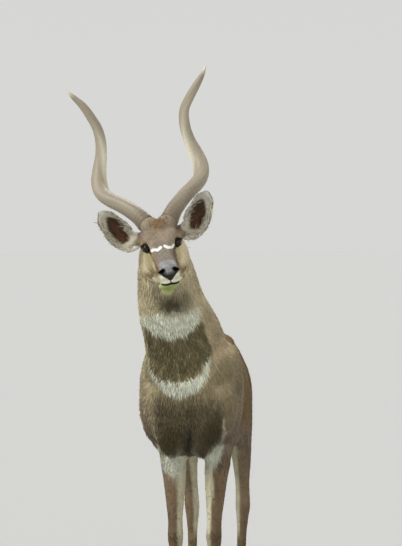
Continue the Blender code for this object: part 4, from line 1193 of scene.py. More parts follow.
def body_colours(p, n, view, on_neck, rough, fine, edge_x, edge_z):
    """Shoulder, flank, chest and belly, with the side stripes and the haunch's dots; the chest's dark coat
    carries painted shade, and so does its hollow.
    """
    x, y, z = p.T
    colour = plain(TAUPE, p)
    front = soft(0.25, -0.35, n[:, 1])
    back_part = soft(0.05, 0.45, y + 0.10 * rough)
    shoulder = soft(0.86, 1.02, z + 0.04 * rough)
    colour = mixed(colour, SHOULDER, 0.85 * shoulder * soft(0.14, -0.04, y))
    colour = mixed(colour, NECK_BUFF, 0.40 * shoulder * soft(-0.12, -0.19, view) * soft(0.10, -0.05, y))
    colour = mixed(colour, RUFOUS, 0.85 * back_part * soft(0.76, 0.92, z))
    behind = soft(0.015, 0.075, y - 0.25 * np.clip(1.15 - z, 0, 0.5))
    colour = mixed(colour, RUFOUS, 0.88 * behind * soft(0.80, 0.92, z) * (1 - on_neck))
    chest = front * soft(1.08, 0.94, z + 0.02 * rough) * soft(0.02, -0.06, y)
    chest = chest * soft(-0.178, -0.128, view) * soft(0.158, 0.104, view)
    # The chest's dark coat, darkened further with painted shade
    colour = mixed(colour, CHEST_WITH_SHADE, 0.96 * chest)
    for at, half in CHEST_LOBES:
        colour = mixed(colour, BRISKET, 0.80 * spot(edge_x, edge_z, at, half, 2) * chest)
    # Painted shade in the chest's hollow, a darker copy of the brisket colour
    colour = mixed(colour, BRISKET * 0.8, 0.60 * spot(edge_x, edge_z, *CHEST_HOLLOW_SHADE) * chest)
    under = soft(0.80, 0.70, z) * soft(-0.15, -0.6, n[:, 2]) * soft(0.10, 0.25, y)
    colour = mixed(colour, CREAM * 0.72, 0.6 * under)
    leant = y + STRIPE_LEAN * (z - STRIPE_HEIGHT) + 0.006 * fine
    stripes = np.max([hump(leant, at, STRIPE_HALF) for at in SIDE_STRIPES], axis=0)
    stripes = stripes * soft(0.95, 1.05, z) * soft(1.24, 1.18, z) * (np.abs(x) > 0.05)
    colour = mixed(colour, CREAM, 0.32 * stripes)
    for at_y, at_z in HAUNCH_DOTS:
        dot = np.hypot(y - at_y, z - at_z)
        colour = mixed(colour, CREAM, 0.8 * soft(0.015, 0.009, dot) * (np.abs(x) > 0.07))
    return colour


def neck_colours(colour, p, n, view, on_neck, on_head, fine, edge_x, edge_z):
    """The neck, its dark panel, painted shadow on the throat under the jaw and beside the mouth, the white
    marks, painted shade in the chest's cleft, and the pale rims.
    """
    y, z = p[:, 1], p[:, 2]
    front = soft(0.25, -0.35, n[:, 1])
    colour = mixed(colour, NECK_BUFF, 0.85 * on_neck * soft(1.12, 1.36, z + 0.02 * fine))
    colour = mixed(colour, SHOULDER, 0.7 * on_neck * soft(1.26, 1.08, z))
    left_side = soft(0.0, 0.5, n[:, 0]) * soft(1.42, 1.34, z) * soft(1.12, 1.2, z)
    colour = mixed(colour, NECK_SIDE, 0.7 * on_neck * left_side)
    face_on = soft(0.45, 0.0, n[:, 1]) * (1 - on_head) * soft(0.05, -0.08, y)
    dark_panel = between(edge_x, edge_z, PANEL_TOP, PANEL_LOW, 0.008)
    strands = soft(-0.9, 1.3, ripple(p * (1, 1, 0.12), *STRANDS))
    olive = mixed(plain(OLIVE, p), OLIVE_PALE, 0.85 * strands ** 1.6)
    colour = mixed(colour, olive, 0.95 * dark_panel * face_on)
    # Painted shadow cast by the head on the throat, and beside the mouth's corners
    colour = mixed(colour, UNDER_JAW_SHADOW, 0.92 * spot(view, z, *UNDER_JAW_SHADOW_PATCH, 1.2) * face_on)
    for at, half in MOUTH_CORNER_SHADOWS:
        colour = mixed(colour, UNDER_JAW_SHADOW, 0.45 * spot(view, z, at, half) * face_on)
    comb = soft(-1.2, 0.6, ripple(p * (1, 1, 0.10), *COMBED))
    white = mixed(plain(WHITE * 0.70, p), WHITE, 0.35 + 0.65 * comb)
    bib = between(view + 0.004 * fine, z + 0.006 * (comb - 0.5), BIB_TOP, BIB_LOW, 0.008, 0.020)
    moon = between(view, z + 0.004 * (comb - 0.5), MOON_TOP, MOON_LOW, 0.006, 0.002)
    colour = mixed(colour, white, np.maximum(bib, moon) * face_on)
    # Painted shade: black in the cleft between the forelegs
    cleft = hump(view, -0.010, 0.012 + 0.10 * np.clip(0.84 - z, 0, 0.2))
    cleft = cleft * soft(0.93, 0.84, z) * soft(0.70, 0.74, z) * front
    colour = mixed(colour, BLACK, 0.75 * cleft)
    for line in PALE_RIMS:
        pale = soft(0.0110, 0.0030, near_line(view, z, line)) * soft(0.4, -0.1, n[:, 1]) * (y < 0.16)
        colour = mixed(colour, CREAM, 0.60 * pale)
    return colour


def leg_colours(colour, p, n, view, fine, edge_x, edge_z):
    """Pale insides, dark shanks in front, pale patches and a stripe, and white marks over the hooves."""
    x, y, z = p.T
    is_fore = y < 0.4
    inner = soft(0.15, 0.65, -n[:, 0] * np.sign(x))
    colour = mixed(colour, LEG_BROWN, 0.8 * soft(0.80, 0.66, z))
    colour = mixed(colour, SHANK, 0.6 * soft(0.5, 0.3, z) * soft(0.3, -0.3, n[:, 1]))
    colour = mixed(colour, CREAM, 0.85 * inner * soft(0.86, 0.74, z) * soft(0.30, 0.38, z))
    patches = np.max([spot(edge_x, edge_z - climb * (view - at[0]), at, half, 3)
                      for at, half, climb in LEG_PATCHES], axis=0)
    colour = mixed(colour, WHITE * 0.86, 0.95 * patches * soft(0.35, -0.2, n[:, 1]) * is_fore)
    stripe = near_line(view + 0.004 * fine, z, FORELEG_STRIPE)
    colour = mixed(colour, CREAM, 0.85 * soft(0.014, 0.006, stripe) * soft(0.3, -0.2, n[:, 1]) * is_fore)
    rings = soft(0.082, 0.090, z) * soft(0.128, 0.112, z)
    colour = mixed(colour, WHITE * 0.85, 0.75 * rings * soft(0.2, -0.4, n[:, 1]))
    dew = soft(0.125, 0.118, z) * soft(0.080, 0.086, z) * soft(0.25, 0.6, n[:, 1])
    return mixed(colour, BLACK, 0.7 * dew)


def face_colours(p, n, streak):
    """The head's colours with the ears', and how bare it is."""
    face = into(face_frame(), p)
    head = into(head_frame(), p)
    mottle = ripple(p, *MOTTLES)
    speck = ripple(p, *SPECKS)
    forward = soft(0.35, -0.05, n[:, 1])
    colour = upper_face_colours(face, mottle, speck, forward)
    colour, bare = muzzle_colours(colour, face, head, n, mottle, speck)
    for side in (1, -1):
        # Painted shade inside the nostrils, with the dark skin round their edge
        colour = mixed(colour, BLACK, soft(1.75, 1.25, nostril_share(head, side)))
        share, _, _, deep = eye_shares(head, side)
        colour = mixed(colour, DARK * 0.35, 0.97 * soft(1.80, 1.35, share) * (deep > 0))
        bare = np.maximum(bare, 0.25 * soft(1.40, 1.25, share) * (deep > 0))
    corner = np.min([near_line(face[:, 0], face[:, 2], line) for line in EYE_CORNERS], axis=0)
    colour = mixed(colour, DARK, 0.85 * soft(0.0075, 0.0035, corner) * forward)
    for at_y, at_z in CHEEK_SPOTS:
        dot = np.hypot(head[:, 1] - at_y, head[:, 2] - at_z)
        colour = mixed(colour, WHITE, 0.75 * soft(0.012, 0.007, dot) * soft(0.80, 0.92, np.abs(n[:, 0])))
    ear, on = ear_colours(face, n, streak)
    return mixed(colour, ear, on), bare


def upper_face_colours(face, mottle, speck, forward):
    """Cheeks, jaw, forehead, brows and bridge, with the dark lines, the white chevron and painted shade at
    the ears' roots.
    """
    u, out, v = face.T
    un = u + FACE_EDGE * mottle
    vn = v + FACE_EDGE * mottle
    colour = plain(NECK_BUFF, face)
    colour = mixed(colour, CHEEK, 0.9 * soft(0.10, 0.05, out) * soft(0.03, -0.02, vn))
    jaw = soft(-0.085, -0.115, vn) * soft(0.050, 0.064, np.abs(un))
    colour = mixed(colour, JAW, 0.95 * jaw)
    colour = mixed(colour, FOREHEAD, soft(-0.012, 0.010, vn) * soft(0.12, 0.07, out))
    # Painted shade in the nooks where the ears meet the head
    for at, half in EAR_ROOT_SHADES:
        colour = mixed(colour, FACE_LINE * 0.7, 0.55 * spot(un, vn, at, half))
    colour = mixed(colour, FORELOCK, 0.75 * spot(un, vn, *FORELOCK_PATCH, 1.2))
    for side in (1, -1):
        colour = mixed(colour, BROW, 0.40 * spot(side * un, vn, *BROW_PATCH))
    off_middle = np.abs(un - (0.004 - 0.05 * np.clip(vn, -0.12, 0)))
    side_line = soft(0.052, 0.046, off_middle) * soft(0.0, -0.015, vn) * soft(-0.118, -0.108, vn)
    colour = mixed(colour, BRIDGE_SIDE, 0.85 * side_line * forward)
    bridge = soft(0.041, 0.032, off_middle) * soft(0.02, -0.004, vn) * soft(-0.112, -0.100, vn)
    colour = mixed(colour, BRIDGE, 0.95 * bridge * forward)
    colour = mixed(colour, BRIDGE * 0.62, 0.55 * bridge * forward * soft(-0.080, -0.098, vn))
    for line in FACE_LINES:
        colour = mixed(colour, FACE_LINE, 0.75 * soft(0.0065, 0.0020, near_line(un, vn, line)) * forward)
    for line in CHEVRON:
        edge = near_line(u, v, line) + 0.0008 * speck
        colour = mixed(colour, SPARK, soft(0.0068, 0.0044, edge) * forward)
    spark = np.min([near_line(u, v, line) for line in CHEVRON], axis=0)
    smudge = spot(un, vn, *BRIDGE_SMUDGE) * soft(0.0060, 0.0085, spark)
    colour = mixed(colour, BRIDGE * 0.55, 0.50 * smudge)
    return colour * (1 + (0.09 + 0.07 * bridge) * mottle + 0.11 * speck)[:, None]


def muzzle_colours(colour, face, head, n, mottle, speck):
    """Lips, chin with painted shade and a painted green reflection, nose pad with a painted highlight, and
    the line of the mouth, and how bare they are.
    """
    above, there, _ = mouth_places(head)
    hx, hy, hz = head.T
    off_middle = np.abs(hx)
    over_mouth = soft(0.0, 0.003, above)
    muzzle = soft(-0.170, -0.190, hy)
    strip = over_mouth * soft(0.0185, 0.0145, above + 0.0015 * mottle) * soft(0.048, 0.040, off_middle)
    lobes = spot(off_middle, hz, *LIP_LOBE, 2)
    around_pad = over_mouth * soft(-0.040, -0.048, hz + 0.001 * mottle) * soft(0.046, 0.038, off_middle)
    colour = mixed(colour, LIP, muzzle * np.maximum.reduce([0.92 * strip, 0.92 * lobes, 0.55 * around_pad]))
    chin = soft(-0.150, -0.175, hy) * soft(-0.001, -0.004, above)
    # White chin hair with painted shade and a painted green reflection from below, deepest in the middle
    colour = mixed(colour, WHITE_CHIN_WITH_SHADE_AND_REFLECTION, 0.90 * chin)
    colour = mixed(colour, CHIN_MIDDLE_SHADE_AND_REFLECTION, 0.80 * chin * spot(hx, hz, *CHIN_SHADE_AND_REFLECTION_SPOT))
    un = face[:, 0] + FACE_EDGE * mottle
    vn = face[:, 2] + FACE_EDGE * mottle
    for line in LIP_STREAKS:
        streak = soft(0.0085, 0.0045, near_line(un, vn, line)) * soft(0.5, 0.2, n[:, 1])
        colour = mixed(colour, WHITE, 0.9 * streak)
    pad_half = np.interp(hz, *np.array(PAD_EDGE).T)
    pad = soft(0.002, -0.002, off_middle - pad_half + 0.001 * mottle) * soft(-0.072, -0.068, hz)
    pad = pad * soft(0.010, -0.004, hz + 0.002 * mottle) * soft(-0.185, -0.202, hy)
    shine_half = np.interp(hz, *np.array(SHINE_EDGE).T)
    shine = soft(-0.048, -0.026, hz + 0.003 * mottle)
    shine = shine * soft(0.007, -0.007, off_middle - shine_half + 0.003 * mottle)
    # Painted highlight: a grey shine over the wet pad's top
    nose = mixed(plain(NOSE, head), NOSE_SHINE_HIGHLIGHT, shine) * (1 + 0.10 * mottle + 0.14 * speck)[:, None]
    colour = mixed(colour, nose, pad)
    split = soft(0.0035, 0.0015, off_middle) * (hz < -0.062) * soft(-0.20, -0.21, hy)
    colour = mixed(colour, DARK, 0.85 * split * soft(-0.002, 0.002, above))
    line = soft(0.0062, 0.0034, np.abs(above + 0.001)) * there
    return mixed(colour, MOUTH_LINE, line), np.maximum(pad, line)


def ear_colours(face, n, streak):
    """The ears' colours, with a red hollow and pale rims, and how much each point is on an ear."""
    t, share, on = ear_places(face)
    cup = soft(0.10, -0.15, n[:, 1]) * soft(0.05, 0.12, t)
    ear = mixed(plain(EAR_BACK, face), EAR_HAIR, cup)
    across = share + 0.05 * streak
    hairs = ripple(np.c_[across * 0.5, t * 0.06, 0 * t], *EAR_HAIRS)
    deepest = soft(1.20, 0.75, ((share - 0.05) / 0.64) ** 2 + ((t - 0.49) / 0.33) ** 2 + 0.05 * hairs)
    rust = mixed(plain(EAR_RED, face), EAR_RUST, soft(0.75, 0.30, t) * soft(-0.6, 1.0, hairs))
    ear = mixed(ear, rust, 0.96 * cup * deepest)
    ear = mixed(ear, BLACK, 0.25 * cup * deepest * soft(0.10, 0.45, share))
    rim = soft(0.68, 0.88, np.abs(share)) + soft(0.88, 0.96, t)
    ear = mixed(ear, EAR_RIM, np.clip(rim, 0, 1) * soft(0.6, 0.1, n[:, 1]))
    return mixed(ear, DARK, 0.25 * soft(0.90, 0.98, t) * soft(0.2, 0.6, n[:, 1])), on


def coat_depth(p):
    """How deep the coat is, and so how far the skin lies inside the solids."""
    on_head = soft(-0.03, 0.02, over_plane(p, NECK_TOP_CUT))
    leg = soft(0.75, 0.45, p[:, 2])
    depth = BODY_DEPTH + (LEG_DEPTH - BODY_DEPTH) * leg
    depth = depth + (HEAD_DEPTH - depth) * soft(0.14, 0.07, p[:, 2])
    return depth * (1 - on_head) + HEAD_DEPTH * on_head


def coat_lay(p, n):
    """The way the hair points at each place, along the skin."""
    x, y, z = p.T
    front = soft(0.10, 0.75, -n[:, 1])
    torso = np.c_[0.05 * np.sign(x), 1 - front, -0.30 - 0.9 * front]
    haunch = soft(0.80, 1.00, y)
    torso = torso + haunch[:, None] * HAUNCH_WAY
    low = soft(0.92, 0.72, z) * np.maximum(soft(0.16, 0.10, y), soft(0.78, 0.86, y))
    lay = mixed(torso, LEG_WAY, low)
    rows = through(NECK, NECK_RINGS)
    tangent = unit(-np.gradient(rows[:, :3], axis=0))
    order = np.argsort(rows[:, 2])
    neck = np.stack([np.interp(z, rows[order, 2], tangent[order, k]) for k in range(3)], 1)
    neck = neck + NECK_SIDE_WAY * (1 - front)[:, None]
    lay = mixed(lay, neck, soft(-0.16, 0.06, over_plane(p, NECK_BASE_CUT)))
    head = into(head_frame(), p)
    side = np.sign(head[:, 0])
    ones = np.ones(len(p))
    cheek = soft(0.0, -0.06, head[:, 2])
    own = np.c_[0.15 * side, ones, -0.55 * cheek + 0.1]
    muzzle = soft(-0.15, -0.20, head[:, 1])
    own = own + muzzle[:, None] * np.c_[0.5 * side, -0.2 * ones, -0.2 * ones]
    own = own @ turn_of(head_frame()).T
    lay = mixed(lay, own, soft(-0.02, 0.03, over_plane(p, NECK_TOP_CUT)))
    face = into(face_frame(), p)
    line = through(EAR_LINE, 2)
    ear_way = unit((line[1] - line[0]) * mirrored(face)) @ turn_of(face_frame()).T
    lay = mixed(lay, ear_way, ear_places(face)[2])
    lay = mixed(lay, TAIL_WAY, soft(TAIL_CUT_Y - 0.02, TAIL_CUT_Y + 0.02, y))
    lay = lay - n * np.einsum("ij,ij->i", lay, n)[:, None]
    return unit(lay + 1e-6)


def turn_of(matrix):
    """The turning part of a frame."""
    return np.array(matrix)[:3, :3]


# Depth of the coat over the skin
BODY_DEPTH = 0.0045
LEG_DEPTH = 0.0018
HEAD_DEPTH = 0.0004
# Ways of the hair, before they are laid along the skin
HAUNCH_WAY = (0, -0.35, -0.65)
LEG_WAY = np.array((0, 0.12, -1.0))
NECK_SIDE_WAY = np.array((0, 0.35, 0))
TAIL_WAY = np.array((0, 0.1, -1.0))

# Tufts of each region: how many a square metre, width, lift, rings, droop, stray
TUFTS = {
    "coat_body": (30000, 0.0058, 0.20, 1, 0.10, 0.22),
    "coat_legs": (46000, 0.0040, 0.17, 1, 0.08, 0.22),
    "coat_chest": (34000, 0.0044, 0.22, 2, 0.16, 0.15),
    "coat_head": (200000, 0.0019, 0.24, 1, 0.12, 0.22),
    "coat_ears": (150000, 0.0017, 0.22, 1, 0.10, 0.22),
    "bib_hair": (30000, 0.0038, 0.26, 3, 0.18, 0.22),
    "crest_hair": (150000, 0.0050, 0.95, 3, 0.30, 0.25),
    "tail_hair": (60000, 0.0060, 0.34, 3, 0.22, 0.22),
    "ear_fringe": (26000, 0.0021, 0.45, 2, 0.15, 0.22),
    "forelock": (50000, 0.0024, 0.45, 2, 0.25, 0.22),
}
LASH_LOOK = (0.0011, 0.2, 2, 0.0, 0.1)
# Long hair: length, unevenness, waves a metre, seed
LONG_HAIR = {
    "crest_hair": (0.046, 0.006, 9.0, 5),
    "tail_hair": (0.075, 0.020, 6.0, 6),
    "ear_fringe": (0.030, 0.008, 30.0, 8),
    "forelock": (0.018, 0.004, 30.0, 9),
}
# Widths of a tuft's rings from root to tip, for one, two or three rings
TUFT_TAPERS = {1: (1.0,), 2: (1.0, 0.78), 3: (0.85, 1.0, 0.62)}
# How much tufts differ: shares of the region's length, width and lift
TUFT_LENGTHS = (0.75, 1.25)
TUFT_WIDTHS = (0.8, 1.2)
TUFT_LIFTS = (0.6, 1.4)
TUFT_TILT = 0.30
TUFT_THICKNESS = 0.55          # of half the width
ROOT_SHADE = 0.82
TIP_SHADE = 0.28               # how much lighter a tip is than a root
RIDGE_SHADE = 0.05
TONE_SPREAD = 0.10
PIECE_TRIANGLES = 190000       # a longer region is parted into several pieces
MAP_TRIANGLES = 9000
COAT_SEED = 7
HAIR_FROM = 0.066              # no hair grows below this height
# Hair lengths, and how much longer some parts of a region are
BODY_LONG = 0.026
CHEST_LONGER = 0.010
BELLY_LONGER = 0.006
LEG_LONG = 0.0165
FOOT_LONG = 0.010
FACE_LONG = 0.0085
CROWN_LONGER = 0.006
NOSE_LONG = 0.0040
EAR_LONG = 0.0075
BIB_LONG = 0.036
MANE_LONGER = 0.014            # than the crest on the back
LASHES = 26
LASH_LONG = 0.011
LASH_LINE = 1.06               # the lashes' line as a share of the opening


def solid_mesh(name, points, triangles, colours, places):
    """One object from corners, triangles, and for each corner a colour and a place on the bake's map."""
    mesh = bpy.data.meshes.new(name)
    mesh.vertices.add(len(points))
    mesh.vertices.foreach_set("co", points.ravel())
    mesh.loops.add(len(triangles) * 3)
    mesh.loops.foreach_set("vertex_index", triangles.ravel())
    mesh.polygons.add(len(triangles))
    mesh.polygons.foreach_set("loop_start", np.arange(0, len(triangles) * 3, 3))
    mesh.update(calc_edges=True)
    paint(mesh, COLOUR_NAME, colours)
    layer = mesh.uv_layers.new(name="OFBake")
    layer.uv.foreach_set("vector", places[triangles.ravel()].ravel())
    mesh.shade_smooth()
    return placed(name, mesh)


def paint(mesh, name, colours):
    """Stores a colour or one value for each corner."""
    layer = mesh.color_attributes.new(name=name, type="FLOAT_COLOR", domain="POINT")
    rgba = np.ones((len(colours), 4))
    rgba[:, :3] = colours if colours.ndim == 2 else colours[:, None]
    layer.data.foreach_set("color", rgba.ravel())


def scatter(rng, skin, density):
    """Random places on the skin, so many for each square metre at each triangle."""
    a, b, c = (skin["points"][skin["tris"][:, k]] for k in range(3))
    area = np.linalg.norm(np.cross(b - a, c - a), axis=1) / 2
    count = np.floor(area * density + rng.random(len(area))).astype(int)
    which = np.repeat(np.arange(len(area)), count)
    r, s = rng.random((2, len(which), 1))
    r = np.sqrt(r)
    shares = np.concatenate([1 - r, r * (1 - s), r * s], axis=1)
    corners = skin["tris"][which]
    roots = np.einsum("ij,ijk->ik", shares, skin["points"][corners])
    normals = unit(np.einsum("ij,ijk->ik", shares, skin["normals"][corners]))
    return roots, normals


def grow(name, rng, roots, normals, lays, long, colours, places, wide, lift, rings, droop, stray):
    """Flat tapered tufts, each a closed solid rooted in the skin, with a length and colour of its own."""
    count = len(roots)
    long = np.broadcast_to(long, count) * rng.uniform(*TUFT_LENGTHS, count)
    wide = np.broadcast_to(wide, count) * rng.uniform(*TUFT_WIDTHS, count)
    lift = np.broadcast_to(lift, count) * rng.uniform(*TUFT_LIFTS, count)
    turn = rng.normal(0, stray, count)[:, None]
    side = unit(np.cross(normals, lays))
    lays = lays * np.cos(turn) + side * np.sin(turn)
    side = unit(np.cross(normals, lays))
    way = lays * np.cos(lift)[:, None] + normals * np.sin(lift)[:, None]
    up = unit(np.cross(way, side))
    tilt = rng.normal(0, TUFT_TILT, count)[:, None]
    side, up = side * np.cos(tilt) + up * np.sin(tilt), up * np.cos(tilt) - side * np.sin(tilt)
    rows, shades, spots = [], [], []
    for t, share in zip(np.linspace(0, 1, rings + 1), (*TUFT_TAPERS[rings], 0.0)):
        middle = roots - normals * TUFT_SINK + way * (long * t)[:, None]
        middle = middle - normals * (droop * long * t * t)[:, None]
        shade = ROOT_SHADE + TIP_SHADE * t
        if share == 0:
            rows.append(middle)
            shades.append(colours * shade)
            spots.append(places + (0, PATCH / 2))
            continue
        half = (wide * share / 2)[:, None]
        for across, rise in ((-1, 0), (0, 1), (1, 0)):
            rows.append(middle + side * half * across + up * half * TUFT_THICKNESS * rise)
            shades.append(colours * (shade + RIDGE_SHADE * rise))
            spots.append(places + (PATCH / 2 * across, PATCH * (t - 0.5)))
    pattern = [(0, 2, 1)]
    for a in range(0, 3 * (rings - 1), 3):
        for i, j in ((0, 1), (1, 2), (2, 0)):
            pattern += [(a + i, a + j, a + 3 + j), (a + i, a + 3 + j, a + 3 + i)]
    tip = 3 * rings
    last = tip - 3
    pattern += [(last, last + 1, tip), (last + 1, last + 2, tip), (last + 2, last, tip)]
    each = tip + 1
    points = np.stack(rows, 1).reshape(-1, 3)
    tone = (1 + rng.normal(0, TONE_SPREAD, count)).clip(0.7, 1.3)
    shade = (np.stack(shades, 1) * tone[:, None, None]).reshape(-1, 3).clip(0.002, 0.98)
    spots = np.stack(spots, 1).reshape(-1, 2)
    pattern = np.array(pattern)
    first = points[pattern[-1]]
    outward = np.cross(first[1] - first[0], first[2] - first[0])
    if np.dot(outward, first.mean(0) - points[:each].mean(0)) < 0:
        pattern = pattern[:, ::-1]
    made = []
    most = PIECE_TRIANGLES // len(pattern)
    for i, start in enumerate(range(0, count, most)):
        n = min(most, count - start)
        tris = (pattern[None] + (np.arange(n) * each)[:, None, None]).reshape(-1, 3)
        part = slice(start * each, (start + n) * each)
        label = name if count <= most else f"{name}_{i + 1}"
        made.append(solid_mesh(label, points[part], tris, shade[part], spots[part]))
    return made


def unwrap(ob):
    """A finder of places on an unwrap of the skin's own shape."""
    twin = placed("unwrap", ob.data.copy())
    thin_out(twin, MAP_TRIANGLES)
    reworked(twin, triangulated)
    bpy.context.view_layer.objects.active = twin
    twin.select_set(True)
    bpy.ops.object.mode_set(mode="EDIT")
    bpy.ops.mesh.select_all(action="SELECT")
    bpy.ops.uv.smart_project(angle_limit=math.radians(66), island_margin=0.003)
    bpy.ops.object.mode_set(mode="OBJECT")
    co, tris = points_of(twin), corners_of(twin)
    uv = np.empty(len(tris) * 6)
    twin.data.uv_layers.active.uv.foreach_get("vector", uv)
    uv = uv.reshape(-1, 3, 2)
    tree = BVHTree.FromPolygons([Vector(p) for p in co], tris.tolist())
    bpy.data.objects.remove(twin)

    def find(points):
        which = np.array([tree.find_nearest(p)[2] for p in points.tolist()])
        a, b, c = (co[tris[which, k]] for k in range(3))
        ab, ac, ap = b - a, c - a, points - a
        d00, d01, d11 = (np.einsum("ij,ij->i", p, q) for p, q in ((ab, ab), (ab, ac), (ac, ac)))
        d20, d21 = np.einsum("ij,ij->i", ap, ab), np.einsum("ij,ij->i", ap, ac)
        bottom = np.maximum(d00 * d11 - d01 * d01, 1e-18)
        v = np.clip((d11 * d20 - d01 * d21) / bottom, 0, 1)
        w = np.clip((d00 * d21 - d01 * d20) / bottom, 0, 1)
        over = np.maximum(v + w, 1)
        shares = np.stack([1 - (v + w) / over, v / over, w / over], 1)
        return np.einsum("ij,ijk->ik", shares, uv[which])

    return find


def parts_of_coat(p, n):
    """How much each point belongs to the head, an ear, the legs, the chest with the throat, and the tail."""
    on_head = (over_plane(p, NECK_TOP_CUT) > 0).astype(float)
    ear = ear_places(into(face_frame(), p))[2] * on_head
    leg = soft(0.74, 0.66, p[:, 2])
    tail = (p[:, 1] > TAIL_CUT_Y).astype(float)
    chest = (1 - on_head) * soft(0.25, 0.02, n[:, 1]) * soft(0.30, 0.05, p[:, 1]) * (1 - leg)
    return on_head, ear, leg, chest, tail


def coat_long(p, n):
    """The hair's length at each point."""
    _, ear, leg, chest, _ = parts_of_coat(p, n)
    long = BODY_LONG + CHEST_LONGER * chest + BELLY_LONGER * soft(0, -0.7, n[:, 2])
    long = long + (LEG_LONG - long) * leg
    long = long + (FOOT_LONG - long) * soft(0.35, 0.12, p[:, 2])
    head = into(head_frame(), p)
    face_long = FACE_LONG + CROWN_LONGER * soft(0.03, 0.10, head[:, 1])
    face_long = face_long + (NOSE_LONG - face_long) * soft(-0.10, -0.19, head[:, 1])
    close = np.min([eye_shares(head, side)[0] for side in (1, -1)], axis=0)
    face_long = face_long * (0.45 + 0.55 * soft(1.5, 2.6, close))
    long = long + (face_long - long) * soft(-0.03, 0.01, over_plane(p, NECK_TOP_CUT))
    return long + (EAR_LONG - long) * ear


def in_bib(p):
    """How much each point lies in one of the two white marks on neck and chest."""
    view, z = p @ RIGHT, p[:, 2]
    bib = between(view, z, BIB_TOP, BIB_LOW, 0.012)
    moon = between(view, z, MOON_TOP, MOON_LOW, 0.012)
    return np.maximum(bib, moon) * (p[:, 1] < 0.0) * (over_plane(p, NECK_TOP_CUT) < 0)


def top_line(p, n):
    """How near each point lies to the line of the standing crest, and the share that is on the neck."""
    rows = through(NECK, NECK_RINGS)
    order = np.argsort(rows[:, 2])
    middle = np.interp(p[:, 2], rows[order, 2], rows[order, 0])
    on_neck = soft(-0.02, 0.02, over_plane(p, NECK_BASE_CUT))
    off = np.abs(p[:, 0] - middle * on_neck)
    up = n[:, 1] * 0.75 + n[:, 2] * 0.65
    back = (p[:, 1] > 0.0) & (p[:, 1] < 1.12)
    high = np.where(on_neck > 0.5, over_plane(p, NECK_TOP_CUT) < 0.06, back)
    return soft(0.016, 0.008, off) * (up > 0.5) * high * (p[:, 1] < TAIL_CUT_Y), on_neck


def long_hair(name, roots):
    """The uneven lengths of one region's long hair."""
    long, uneven, waves, seed = LONG_HAIR[name]
    return long + uneven * ripple(roots, waves, seed)


def grow_coat(skin, find):
    """All tufts of the animal, by region."""
    rng = np.random.default_rng(COAT_SEED)
    middles = skin["points"][skin["tris"]].mean(1)
    facing = unit(skin["normals"][skin["tris"]].mean(1))
    on_head, ear, leg, chest, tail = parts_of_coat(middles, facing)
    covered = 1 - skin["bare"][skin["tris"]].mean(1).clip(0, 1)
    covered = covered * (middles[:, 2] > HAIR_FROM)
    made = []

    def region(name, where, edit=None):
        density, *look = TUFTS[name]
        roots, normals = scatter(rng, skin, density * where * covered)
        colours, _ = coat_colours(roots, normals)
        lays = coat_lay(roots, normals)
        long = coat_long(roots, normals)
        if edit:
            lays, long, colours = edit(roots, normals, lays, colours)
        made.extend(grow(name, rng, roots, normals, lays, long, colours, find(roots), *look))

    def longer(roots, normals, lays, colours):
        return lays, BIB_LONG, colours

    def standing(roots, normals, lays, colours):
        on_neck = top_line(roots, normals)[1]
        tone = rng.random(len(roots))
        pale = (tone > 0.62) * (1 - on_neck) * 0.8 + (tone > 0.9) * 0.3
        long = long_hair("crest_hair", roots) + MANE_LONGER * on_neck
        return lays, long, mixed(plain(CREST_BROWN, roots), CREST_PALE, pale)

    def hanging(roots, normals, lays, colours):
        return lays, long_hair("tail_hair", roots), colours

    def fringe(roots, normals, lays, colours):
        forward = turn_of(face_frame()) @ (0, -1, 0)
        lays = unit(lays * 0.8 + forward * 0.5)
        colours = mixed(colours, FRINGE_PALE, np.full(len(roots), 0.85))
        return lays, long_hair("ear_fringe", roots), colours

    def locks(roots, normals, lays, colours):
        return lays, long_hair("forelock", roots), colours

    region("coat_body", (1 - on_head) * (1 - leg) * (1 - tail) * (1 - chest))
    region("coat_legs", leg * (1 - on_head))
    region("coat_chest", chest * (1 - on_head))
    region("coat_head", on_head * (1 - ear))
    region("coat_ears", ear)
    region("bib_hair", in_bib(middles) * (facing[:, 1] < 0.2), longer)
    region("crest_hair", top_line(middles, facing)[0], standing)
    region("tail_hair", tail, hanging)
    face = into(face_frame(), middles)
    t, share, on = ear_places(face)
    cup = soft(0.0, -0.3, facing[:, 1]) * on * on_head
    region("ear_fringe", cup * (soft(0.40, 0.75, np.abs(share)) * soft(0.97, 0.75, t)), fringe)
    brow = spot(face[:, 0], face[:, 2], *FORELOCK_TUFTS, 2) * on_head * (facing[:, 1] < 0.5)
    region("forelock", brow, locks)
    made.extend(lashes(rng, find))
    return made


def lashes(rng, find):
    """Short dark hairs along the edge of the upper lids."""
    roots, ways, outs = [], [], []
    for side in (1, -1):
        centre, way, along, up = eye_axes(side)
        for t in np.linspace(0.12, 0.88, LASHES):
            angle = math.pi * t
            x = OPEN_HALF * LASH_LINE * math.cos(angle)
            y = OPEN_ABOVE * LASH_LINE * math.sin(angle)
            deep = math.sqrt(max(EYE_RADIUS ** 2 - x * x - y * y, 0.0001)) + LID_THICKNESS
            roots.append(centre + along * x + up * y + way * deep)
            outs.append(way)
            ways.append(up * 0.5 + along * 0.5 * math.cos(angle) + way * 0.9)
    turn = turn_of(head_frame())
    roots = out_of(head_frame(), np.array(roots))
    normals = unit(np.array(outs)) @ turn.T
    lays = unit(np.array(ways)) @ turn.T
    colours = plain(LASH, roots)
    return grow("lashes", rng, roots, normals, lays, LASH_LONG, colours, find(roots), *LASH_LOOK)


# Horns, eyes and hooves

